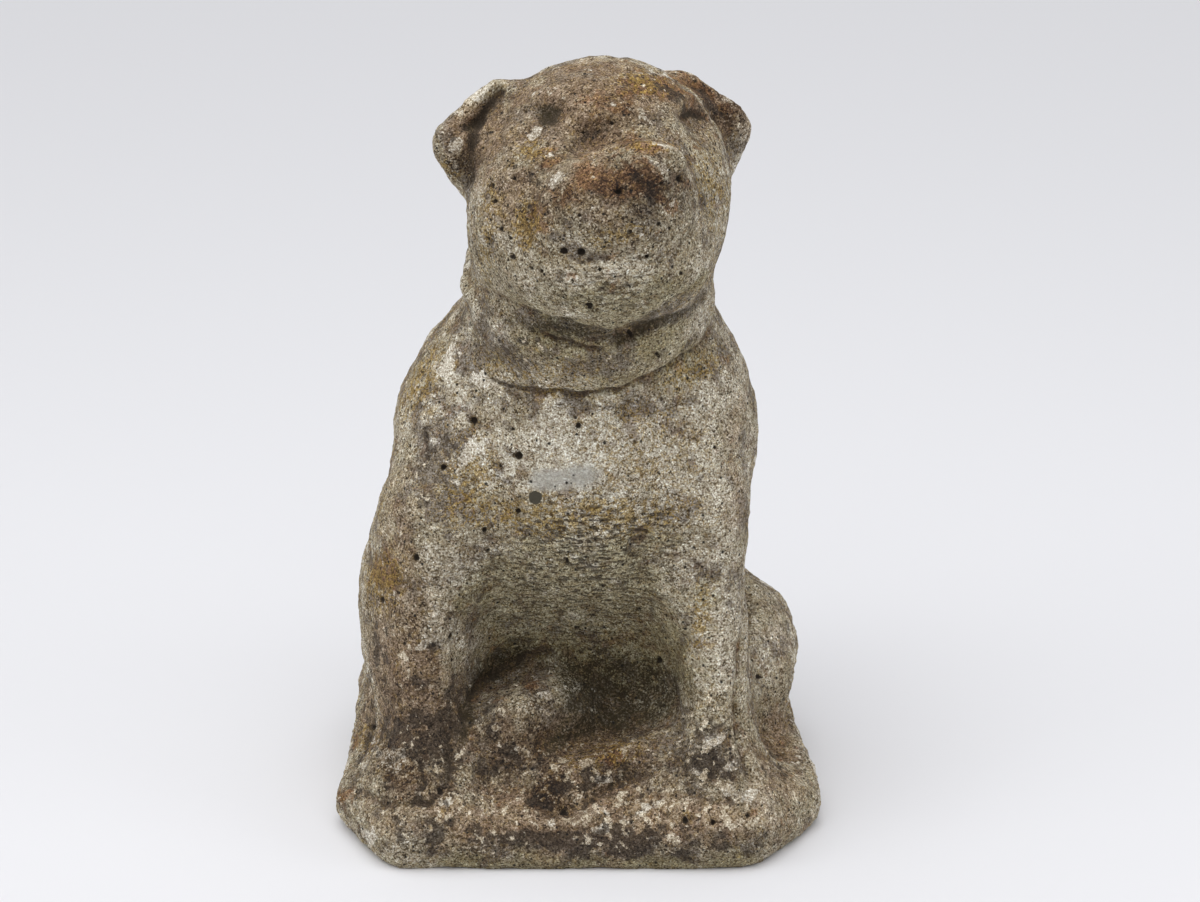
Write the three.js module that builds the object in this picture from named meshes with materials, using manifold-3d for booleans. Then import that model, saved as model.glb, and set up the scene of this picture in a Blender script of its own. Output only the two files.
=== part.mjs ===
// A seated bulldog, cast in one piece with its low plinth, in weathered reconstituted stone.
// Millimetres, +Z up, the dog faces -Y, and the origin is the middle of the underside.
//
// The figure is sculpted as a field: lumps and limbs are blended, dents are pressed in, and the skin is
// the surface where the field is zero. Its pose and carving are laid out once and follow dogHeight. The
// plinth, the collar and the ear flaps have sizes of their own.

import * as THREE from 'three';
import { ImprovedNoise } from 'three/addons/math/ImprovedNoise.js';
import { mergeVertices } from 'three/addons/utils/BufferGeometryUtils.js';
import Module from 'manifold-3d';

// Driving dimensions
const dogHeight = 374; // from the top of the plinth to the crown of the head
const baseHeight = 30; // the plinth's thickness at its rim
const baseWidth = 256; // the plinth across its widest, near the forepaws
const baseDepth = 248; // the plinth from front to back
const baseFrontWidth = 189; // the straight stretch of its front edge, between the cut corners
const baseFrontShift = 3.5; // how far that stretch lies off the middle, to the dog's right
const baseBackWidth = 150; // the straight stretch of its back edge
const baseCornerDepth = 52; // how far back each cut front corner runs
const baseRounding = 13; // of the plinth's worn edges
const collarWidth = 34; // the collar strap, from its upper to its lower edge
const collarRelief = 5; // how far the strap stands out from the neck
const earThickness = 13; // the folded ear flap
const weathering = 1.6; // depth of the soft hollows that years outdoors have left
const weatheringSpan = 34; // distance from one such hollow to the next

// The sculptor's layout is drawn for a dog 372 mm tall.
const scale = dogHeight / 372;
const degree = Math.PI / 180;

// A point of the layout: x to the dog's left, y to its back, z above the top of the plinth.
const at = (x, y, z) => new THREE.Vector3(x * scale, y * scale, baseHeight + z * scale);
const size = (x, y, z) => new THREE.Vector3(x * scale, y * scale, z * scale);

// An ellipsoid, turned by yaw about Z, then pitch about X and roll about Y, in degrees.
function lump(centre, radii, yaw = 0, pitch = 0, roll = 0) {
  const turn = new THREE.Euler(pitch * degree, roll * degree, yaw * degree, 'ZXY');
  return placedLump(centre, radii, new THREE.Quaternion().setFromEuler(turn));
}

// The same, with its turn given as a quaternion.
function placedLump(centre, radii, turn) {
  const inward = turn.clone().invert();
  const local = new THREE.Vector3();
  const squeezed = new THREE.Vector3();
  return (point) => {
    local.copy(point).sub(centre).applyQuaternion(inward).divide(radii);
    const reach = local.length();
    squeezed.copy(local).divide(radii);
    return (reach * (reach - 1)) / Math.max(squeezed.length(), 1e-6);
  };
}

// A limb from one point to another, its radius changing evenly.
function limb(start, end, startRadius, endRadius) {
  const along = end.clone().sub(start);
  const lengthSquared = along.lengthSq();
  const local = new THREE.Vector3();
  return (point) => {
    local.copy(point).sub(start);
    const share = THREE.MathUtils.clamp(local.dot(along) / lengthSquared, 0, 1);
    local.addScaledVector(along, -share);
    return local.length() - THREE.MathUtils.lerp(startRadius, endRadius, share) * scale;
  };
}

// Union and cut with a soft join of the given width.
function blend(a, b, width) {
  const near = Math.max(width - Math.abs(a - b), 0) / width;
  return Math.min(a, b) - (near * near * width) / 4;
}
const press = (a, b, width) => -blend(-a, b, width);

// The plinth: a rough slab with its two front corners cut, narrowing towards the back.
function plinth() {
  const half = baseWidth / 2;
  const front = -baseDepth / 2;
  const back = baseDepth / 2;
  const shoulder = (baseBackWidth + baseWidth) / 4;
  const side = [
    [half, front + baseCornerDepth],
    [half * 0.92, back * 0.2],
    [shoulder, back * 0.66],
    [baseBackWidth / 2, back],
  ];
  const frontEdge = [-1, 1].map((end) => [(end * baseFrontWidth) / 2 - baseFrontShift, front]);
  const otherSide = side.map(([x, y]) => [-x, y]).reverse();
  const outline = [...frontEdge, ...side, ...otherSide].map(([x, y]) => new THREE.Vector2(x, y));
  const inset = Math.min(baseRounding, baseHeight / 2);
  // Its rounded lower edge reaches below the ground, so that a worn arris is left.
  const below = inset * 0.35;
  const middle = (baseHeight - below) / 2;
  const halfThick = (baseHeight + below) / 2 - inset;
  return (point) => {
    const sideways = outlineDistance(outline, point.x, point.y) + inset;
    const upright = Math.abs(point.z - middle) - halfThick;
    const outside = Math.hypot(Math.max(sideways, 0), Math.max(upright, 0));
    return Math.min(Math.max(sideways, upright), 0) + outside - inset;
  };
}

// Signed distance from a point to a closed outline, negative inside.
function outlineDistance(outline, x, y) {
  let nearest = Infinity;
  let inside = false;
  outline.forEach((a, i) => {
    const b = outline[(i + outline.length - 1) % outline.length];
    const ex = b.x - a.x;
    const ey = b.y - a.y;
    const share = THREE.MathUtils.clamp(
      ((x - a.x) * ex + (y - a.y) * ey) / (ex * ex + ey * ey), 0, 1);
    nearest = Math.min(nearest, Math.hypot(x - a.x - ex * share, y - a.y - ey * share));
    if (a.y > y !== b.y > y && x < (ex * (y - a.y)) / ey + a.x) inside = !inside;
  });
  return inside ? -nearest : nearest;
}

// The body: back, rump, chest, belly, shoulders and neck.
const body = [
  [limb(at(0, 46, 58), at(2, 14, 180), 66, 58), 20],
  [lump(at(0, 36, 46), size(88, 72, 72)), 30],
  [lump(at(0, -26, 158), size(74, 64, 84)), 40],
  [lump(at(0, -8, 50), size(76, 42, 82)), 30],
  [lump(at(6, -36, 8), size(66, 42, 40)), 20],
  [lump(at(-60, -20, 168), size(37, 46, 60), 0, 0, 6), 26],
  [lump(at(55, -22, 176), size(36, 46, 54), 0, 0, -4), 26],
];

// The forelegs, thick at the shoulder, their worn paws melted into the plinth.
const forelegs = [
  [limb(at(-74, -58, 140), at(-76, -76, 12), 22, 18), 26],
  [limb(at(-80, -34, 120), at(-80, -54, 8), 24, 20), 26],
  [lump(at(-74, -88, 0), size(28, 27, 17)), 26],
  [limb(at(60, -56, 140), at(67, -76, 12), 20, 17), 26],
  [limb(at(62, -38, 120), at(68, -60, 8), 20, 18), 24],
  [lump(at(66, -88, 0), size(26, 27, 17)), 26],
];

// The haunches: the dog rests on one hip, so the thigh on its right stands higher.
const haunches = [
  [lump(at(-84, 6, 60), size(35, 62, 68), 0, 0, -3), 28],
  [limb(at(-94, -22, 6), at(-92, 40, 6), 24, 26), 20],
  [lump(at(81, 14, 30), size(37, 58, 46), 0, 0, 4), 16],
];

// The deep hollow under the chest, between the forelegs.
const bodyDents = [[lump(at(-2, -84, 50), size(46, 40, 34)), 34]];

// The hind feet in that hollow: one raised and slanting, one flat before it.
const hindFeet = [
  [limb(at(-39, -71, 23), at(-9, -58, 32), 18, 17), 14],
  [limb(at(-20, -92, 0), at(34, -78, 10), 13, 15), 12],
];

// The short tail, worn almost flush with the rump.
const tail = [[limb(at(-4, 103, 48), at(-16, 106, 12), 10, 7), 8]];

// The head turns to the dog's left and looks up.
const headCentre = at(12, -42, 302);
const headYaw = 13;
const headLift = 24;
const headTilt = 1;
const headTurn = new THREE.Quaternion().setFromEuler(
  new THREE.Euler(-headLift * degree, headTilt * degree, headYaw * degree, 'ZXY'));

// A place on the head: to the dog's left, forward along the muzzle and up.
const onHead = (side, forward, up) => size(side, -forward, up).applyQuaternion(headTurn).add(headCentre);
const headLump = (side, forward, up, radii) => placedLump(onHead(side, forward, up), radii, headTurn);

// The neck, the skull, the jowls, the chin, the muzzle and the nose.
const head = [
  [limb(at(2, -12, 205), at(6, -34, 262), 66, 58), 26],
  [headLump(1, -4, 10, size(64, 62, 60)), 12],
  [headLump(-8, 8, -18, size(59, 57, 50)), 20],
  [headLump(-5, 36, -38, size(47, 33, 29)), 16],
  [headLump(-3, 54, -12, size(37, 30, 27)), 12],
  [headLump(4, 71, 3, size(19, 13, 12)), 9],
];

// The eye sockets and the stop between them.
const headDents = [
  [headLump(-41, 48, 32, size(13, 14, 10)), 12],
  [headLump(48, 43, 31, size(13, 14, 10)), 12],
  [headLump(-17, 60, 20, size(14, 12, 10)), 14],
];

// The ears: flaps folded outwards off the top of the skull, each with its thick rolled rim.
const ear = (root, tip, middle) => [
  [limb(onHead(...root), onHead(...tip), earThickness / 2 / scale, 9), 8],
  [headLump(...middle, size(15, 13, 17)), 10],
];
const ears = [
  ...ear([-45, 4, 60], [-74, -4, 30], [-64, -8, 24]),
  ...ear([42, 4, 58], [70, -4, 34], [60, -8, 27]),
];

// The collar: a strap with worn edges round the neck, hanging lower in front.
const collarCentre = at(5, -33, 254);
const collarTurn = new THREE.Euler(22 * degree, -3 * degree, 0);
const neckHalfWidth = 58 * scale;
const neckHalfDepth = 60 * scale;

function collar() {
  const wear = Math.min(collarRelief, collarWidth / 2) * 0.6;
  const buried = neckHalfWidth * 0.8;
  const outer = neckHalfWidth + collarRelief;
  const half = collarWidth / 2;
  const section = [
    [buried, -half],
    [outer - wear, -half],
    [outer, wear - half],
    [outer, half - wear],
    [outer - wear, half],
    [buried, half],
    [buried, -half],
  ].map(([radius, height]) => new THREE.Vector2(radius, height));
  return new THREE.LatheGeometry(section, 60)
    .rotateX(Math.PI / 2)
    .scale(1, (neckHalfDepth + collarRelief) / outer, 1)
    .applyQuaternion(new THREE.Quaternion().setFromEuler(collarTurn))
    .translate(collarCentre.x, collarCentre.y, collarCentre.z);
}

const noise = new ImprovedNoise();

function weather(point) {
  const span = weatheringSpan * scale;
  return weathering * noise.noise(point.x / span, point.y / span, point.z / span);
}

// The whole field, negative inside the stone. The stone runs on a little below the ground, where the
// underside is cut flat.
const runOn = 5;
const slab = plinth();
const stages = [
  [blend, [...body, ...forelegs, ...haunches]],
  [press, bodyDents],
  [blend, [...hindFeet, ...tail, ...head, ...ears]],
  [press, headDents],
];

function field(point) {
  let distance = slab(point);
  for (const [operation, shapes] of stages) {
    for (const [shape, join] of shapes) distance = operation(distance, shape(point), join * scale);
  }
  return Math.max(distance + weather(point), -runOn - point.z);
}

// The cells that the skin is found in follow the figure: rings at rising heights, each with a middle and
// half widths in millimetres. The cells are finer on the head.
const fullHeight = baseHeight + dogHeight;
const columns = 25;
const margin = 8;
const baseReach = {
  x: 0,
  y: 0,
  halfX: Math.max(145 * scale, baseWidth / 2 + margin, baseFrontWidth / 2 + baseFrontShift + margin),
  halfY: Math.max(140 * scale, baseDepth / 2 + margin),
};
const headReach = {
  x: 8 * scale,
  y: -40 * scale,
  halfX: 70 * scale + earThickness + margin,
  halfY: 82 * scale + margin,
};
const cage = [
  { z: -margin, ...baseReach },
  { z: baseHeight + 15 * scale, ...baseReach },
  { z: baseHeight + 105 * scale, x: 0, y: 0, halfX: 132 * scale, halfY: 135 * scale },
  { z: baseHeight + 220 * scale, x: 0, y: -20 * scale, halfX: 115 * scale, halfY: 108 * scale },
  { z: baseHeight + 275 * scale, ...headReach },
  { z: fullHeight + margin, ...headReach },
];

// The cage at one height.
function cageAt(height) {
  const above = Math.max(1, cage.findIndex((ring) => ring.z >= height));
  const low = cage[above - 1];
  const high = cage[above];
  const share = THREE.MathUtils.clamp((height - low.z) / (high.z - low.z), 0, 1);
  const value = (key) => THREE.MathUtils.lerp(low[key], high[key], share);
  return { z: height, x: value('x'), y: value('y'), halfX: value('halfX'), halfY: value('halfY') };
}

// The layers of cells, each about as tall as it is wide.
function cageLayers() {
  const layers = [cageAt(cage[0].z)];
  const top = cage.at(-1).z;
  while (layers.at(-1).z < top) {
    const last = layers.at(-1);
    layers.push(cageAt(Math.min(last.z + (2 * last.halfX) / columns, top)));
  }
  return layers;
}

// The skin of the field: a vertex in each cell that it passes through, joined across each crossed edge.
function skin() {
  const layers = cageLayers();
  const across = columns + 1;
  const corners = [];
  for (const layer of layers) {
    for (let j = 0; j < across; j += 1) {
      for (let i = 0; i < across; i += 1) {
        corners.push(new THREE.Vector3(
          layer.x + layer.halfX * ((2 * i) / columns - 1),
          layer.y + layer.halfY * ((2 * j) / columns - 1),
          layer.z));
      }
    }
  }
  const values = corners.map(field);
  const step = [1, across, across * across];
  closePinches(values, step);
  const cellCorners = [0, 1, 2, 3, 4, 5, 6, 7].map((bits) =>
    step.reduce((sum, width, axis) => sum + (bits & (1 << axis) ? width : 0), 0));
  const edges = cellCorners.flatMap((from, a) =>
    [0, 1, 2].filter((axis) => !(a & (1 << axis))).map((axis) => [from, from + step[axis]]));

  const vertexOf = new Map();
  const positions = [];
  const crossing = new THREE.Vector3();
  const eachCell = (visit) => {
    for (let k = 0; k < layers.length - 1; k += 1) {
      for (let j = 0; j < columns; j += 1) {
        for (let i = 0; i < columns; i += 1) visit(i + j * step[1] + k * step[2], [i, j, k]);
      }
    }
  };
  eachCell((cell) => {
    const sum = new THREE.Vector3();
    let count = 0;
    for (const [from, to] of edges) {
      const a = values[cell + from];
      const b = values[cell + to];
      if (a < 0 === b < 0) continue;
      sum.add(crossing.lerpVectors(corners[cell + from], corners[cell + to], a / (a - b)));
      count += 1;
    }
    if (!count) return;
    vertexOf.set(cell, positions.length);
    positions.push(sum.divideScalar(count));
  });

  const faces = [];
  eachCell((cell, place) => {
    step.forEach((width, axis) => {
      const [u, v] = [(axis + 1) % 3, (axis + 2) % 3];
      if (!place[u] || !place[v] || values[cell] < 0 === values[cell + width] < 0) return;
      const ring = [cell, cell - step[u], cell - step[u] - step[v], cell - step[v]]
        .map((near) => vertexOf.get(near));
      if (values[cell] >= 0) ring.reverse();
      const [a, b, c, d] = ring;
      const acrossA = positions[a].distanceToSquared(positions[c]);
      const acrossB = positions[b].distanceToSquared(positions[d]);
      faces.push(...(acrossA < acrossB ? [a, b, c, a, c, d] : [a, b, d, b, c, d]));
    });
  });
  relax(positions, faces);
  relax(positions, faces);
  return new THREE.BufferGeometry().setFromPoints(positions).setIndex(faces);
}

// Evens out the triangles: each vertex moves half way to the middle of its neighbours, then back onto
// the surface.
function relax(positions, faces) {
  const middles = positions.map(() => new THREE.Vector3());
  const counts = positions.map(() => 0);
  faces.forEach((vertex, place) => {
    const next = faces[place % 3 === 2 ? place - 2 : place + 1];
    middles[vertex].add(positions[next]);
    counts[vertex] += 1;
  });
  positions.forEach((position, i) => settle(position.lerp(middles[i].divideScalar(counts[i]), 0.5)));
}

// Where the corners of a face are solid and open by turns, the skin would pinch, so the gap is filled.
function closePinches(values, step) {
  const faces = [[0, 1], [0, 2], [1, 2]].map(([u, v]) => [step[u], step[v]]);
  let closed = true;
  while (closed) {
    closed = false;
    for (let corner = 0; corner < values.length - step[1] - step[2]; corner += 1) {
      for (const [u, v] of faces) {
        const ring = [corner, corner + u, corner + u + v, corner + v];
        const solid = ring.map((place) => values[place] < 0);
        if (solid[0] === solid[1] || solid[1] === solid[2] || solid[2] === solid[3]) continue;
        for (const place of ring) values[place] = -Math.abs(values[place]);
        closed = true;
      }
    }
  }
}

// Moves a point onto the surface, down the field's slope, but not out of its cell.
function settle(point) {
  const probeReach = 0.4;
  const longestMove = 1.6;
  const slope = new THREE.Vector3();
  const probe = new THREE.Vector3();
  const along = (axis) => {
    const ahead = field(probe.copy(point).setComponent(axis, point.getComponent(axis) + probeReach));
    const behind = field(probe.copy(point).setComponent(axis, point.getComponent(axis) - probeReach));
    return (ahead - behind) / (2 * probeReach);
  };
  slope.set(along(0), along(1), along(2)).normalize();
  return point.addScaledVector(slope, THREE.MathUtils.clamp(-field(point), -longestMove, longestMove));
}

const wasm = await Module();
wasm.setup();

function toSolid(geometry) {
  const bare = geometry.clone();
  bare.deleteAttribute('normal');
  bare.deleteAttribute('uv');
  const merged = mergeVertices(bare);
  return new wasm.Manifold(new wasm.Mesh({
    numProp: 3,
    vertProperties: merged.attributes.position.array,
    triVerts: new Uint32Array(merged.index.array),
  }));
}

function toGeometry(solid) {
  const mesh = solid.getMesh();
  const geometry = new THREE.BufferGeometry();
  geometry.setAttribute('position', new THREE.BufferAttribute(mesh.vertProperties, 3));
  geometry.setIndex(new THREE.BufferAttribute(mesh.triVerts, 1));
  geometry.computeVertexNormals();
  return geometry;
}

// The ground, as a block that the underside is cut flat with.
function groundBlock() {
  const reach = 4 * baseHeight;
  return new THREE.BoxGeometry(3 * baseWidth, 3 * baseDepth, reach).translate(0, 0, -reach / 2);
}

function castStatue() {
  const geometry = toGeometry(toSolid(skin()).add(toSolid(collar())).subtract(toSolid(groundBlock())));
  geometry.computeBoundingBox();
  const middle = geometry.boundingBox.getCenter(new THREE.Vector3());
  return geometry.translate(-middle.x, -middle.y, 0);
}

const stone = new THREE.MeshStandardMaterial({ color: 0x8b8171, roughness: 0.95, metalness: 0 });
const statue = new THREE.Mesh(castStatue(), stone);
statue.name = 'bulldog_on_plinth';

const part = new THREE.Group();
part.add(statue);

export default part;
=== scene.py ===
# A seated bulldog garden statue, cast in one with its collar and low plinth in reconstituted stone and
# left outdoors for decades. Metres, +Z up, the dog faces -Y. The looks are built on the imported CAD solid.
import math

import bmesh
import bpy
import numpy as np
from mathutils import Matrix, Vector, noise
from mathutils.bvhtree import BVHTree


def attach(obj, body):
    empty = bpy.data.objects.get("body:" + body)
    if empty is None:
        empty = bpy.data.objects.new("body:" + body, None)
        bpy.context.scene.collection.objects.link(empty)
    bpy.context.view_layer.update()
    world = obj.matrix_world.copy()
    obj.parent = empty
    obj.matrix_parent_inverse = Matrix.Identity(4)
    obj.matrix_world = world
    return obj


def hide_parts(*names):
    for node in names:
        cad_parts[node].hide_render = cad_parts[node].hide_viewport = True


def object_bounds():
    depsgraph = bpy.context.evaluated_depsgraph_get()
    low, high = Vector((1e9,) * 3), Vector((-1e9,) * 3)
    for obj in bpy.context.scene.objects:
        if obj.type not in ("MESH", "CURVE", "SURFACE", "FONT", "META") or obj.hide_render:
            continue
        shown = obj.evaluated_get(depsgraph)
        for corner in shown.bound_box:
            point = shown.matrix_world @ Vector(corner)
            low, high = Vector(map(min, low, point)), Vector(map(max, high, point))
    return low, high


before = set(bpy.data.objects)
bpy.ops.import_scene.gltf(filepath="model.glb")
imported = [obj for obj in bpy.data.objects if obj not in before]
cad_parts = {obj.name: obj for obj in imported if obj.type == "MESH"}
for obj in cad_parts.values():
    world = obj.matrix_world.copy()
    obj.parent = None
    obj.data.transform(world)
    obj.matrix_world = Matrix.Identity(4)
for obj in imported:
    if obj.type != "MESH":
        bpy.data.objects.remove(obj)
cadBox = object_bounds()
millimetre = 0.001
solidName = "bulldog_on_plinth"
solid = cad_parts[solidName]
print("frame loaded")

# The camera stands where the photograph was taken from, and its picture places the carving on the front.
cameraSettings = {
    "photoWidth": 1200,  # pixels
    "photoHeight": 902,
    "lens": 90.0,  # millimetres
    "sensor": 36.0,
    "distance": 1.585,  # metres from the target
    "lookDown": 20.0,  # degrees
    "target": (0.011, 0.0, 0.184),
}


def cameraPlace():
    lean = math.radians(cameraSettings["lookDown"])
    away = np.array([0.0, -math.cos(lean), math.sin(lean)])
    return np.array(cameraSettings["target"]) + cameraSettings["distance"] * away, -away


def addCamera():
    place, _ = cameraPlace()
    data = bpy.data.cameras.new("photoCamera")
    data.lens = cameraSettings["lens"]
    data.sensor_width = cameraSettings["sensor"]
    camera = bpy.data.objects.new("photoCamera", data)
    camera.location = place
    camera.rotation_euler = (math.radians(90 - cameraSettings["lookDown"]), 0, 0)
    bpy.context.scene.collection.objects.link(camera)
    bpy.context.scene.camera = camera


def photoPlaces(points):
    # where each point shows in the photograph, in its pixels
    eye, ahead = cameraPlace()
    upward = np.array([0.0, -ahead[2], ahead[1]])
    offset = points - eye
    focal = cameraSettings["lens"] / cameraSettings["sensor"] * cameraSettings["photoWidth"]
    spread = focal / (offset @ ahead)
    across = cameraSettings["photoWidth"] / 2 + offset[:, 0] * spread
    down = cameraSettings["photoHeight"] / 2 - (offset @ upward) * spread
    return np.stack([across, down], 1)


addCamera()

# The skin is a fine mesh over the CAD solid, with the solid's facets smoothed away.
skinSettings = {
    "cell": 1.25,  # mm, of the mesh that is carved
    "facetRounds": 56,  # of smoothing
    "earRounds": 0.3,  # share of it that the thin ears get
    "earsAbove": 318.0,  # mm
    "earsOutside": 64.0,  # mm from the middle of the head
    "earFade": 8.0,  # mm, below and inside them
    "headMiddle": 12.0,  # mm
    "footBand": 0.4,  # mm up, the rim that the smoothing leaves where it stands
    "groundBand": 0.3,  # mm up, pressed flat on the ground at the end
    "finishedTriangles": 194000,
    "unseenShare": 0.3,  # of the finished triangles, on what the photograph doesn't show
    "unseenBelow": 0.02,  # of being seen from the camera
}


def bakeModifiers(piece):
    graph = bpy.context.evaluated_depsgraph_get()
    mesh = bpy.data.meshes.new_from_object(piece.evaluated_get(graph))
    piece.modifiers.clear()
    piece.data = mesh


def fineCopy(node, name):
    mesh = node.data.copy()
    shell = bmesh.new()
    shell.from_mesh(mesh)
    bmesh.ops.remove_doubles(shell, verts=shell.verts, dist=1e-6)
    shell.to_mesh(mesh)
    shell.free()
    mesh.materials.clear()
    piece = bpy.data.objects.new(name, mesh)
    bpy.context.scene.collection.objects.link(piece)
    remesh = piece.modifiers.new("fineCells", "REMESH")
    remesh.mode = "VOXEL"
    remesh.voxel_size = skinSettings["cell"] * millimetre
    bakeModifiers(piece)
    return piece


def readPoints(mesh):
    points = np.empty(len(mesh.vertices) * 3)
    mesh.vertices.foreach_get("co", points)
    return points.reshape(-1, 3)


def readNormals(mesh):
    normals = np.empty(len(mesh.vertices) * 3)
    mesh.vertex_normals.foreach_get("vector", normals)
    return normals.reshape(-1, 3)


def writePoints(mesh, points):
    mesh.vertices.foreach_set("co", points.ravel())
    mesh.update()


def storeValue(mesh, name, values):
    attribute = mesh.attributes.get(name) or mesh.attributes.new(name, "FLOAT", "POINT")
    attribute.data.foreach_set("value", values.astype(np.float32))


def ramp(values, low, high):
    share = np.clip((values - low) / (high - low), 0, 1)
    return share * share * (3 - 2 * share)


class Neighbours:
    # the edges of a mesh, for spreading values over its surface
    def __init__(self, mesh):
        edges = np.empty(len(mesh.edges) * 2, int)
        mesh.edges.foreach_get("vertices", edges)
        edges = edges.reshape(-1, 2)
        self.ends = np.concatenate([edges[:, 0], edges[:, 1]])
        self.others = np.concatenate([edges[:, 1], edges[:, 0]])
        self.size = len(mesh.vertices)
        self.counts = np.bincount(self.ends, minlength=self.size)

    def spread(self, values, rounds, share=0.5):
        # each round moves every value part of the way to the mean of its neighbours
        values = values.reshape(self.size, -1)
        share = np.broadcast_to(share, self.size)[:, None]
        for _ in range(rounds):
            sums = [
                np.bincount(self.ends, weights=column[self.others], minlength=self.size)
                for column in values.T
            ]
            values = values + share * (np.stack(sums, 1) / self.counts[:, None] - values)
        return values


def smoothFacets(piece):
    mesh = piece.data
    around = Neighbours(mesh)
    points = readPoints(mesh)
    above, outside = skinSettings["earsAbove"], skinSettings["earsOutside"]
    fade = skinSettings["earFade"]
    aside = np.abs(points[:, 0] / millimetre - skinSettings["headMiddle"])
    ears = ramp(points[:, 2] / millimetre, above - fade, above) * ramp(aside, outside - fade, outside)
    share = 0.5 * (1 - (1 - skinSettings["earRounds"]) * ears)
    rounds = skinSettings["facetRounds"]
    once = around.spread(points, rounds, share)
    # what the smoothing took off the forms is smoothed as well and given back
    smooth = once + around.spread(points - once, rounds, share)
    standing = points[:, 2] < skinSettings["footBand"] * millimetre
    smooth[standing] = points[standing]
    writePoints(mesh, smooth)
    return around


statue = fineCopy(solid, "bulldogStatue")
neighbours = smoothFacets(statue)
print("skin:", len(statue.data.vertices), "points")

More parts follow.
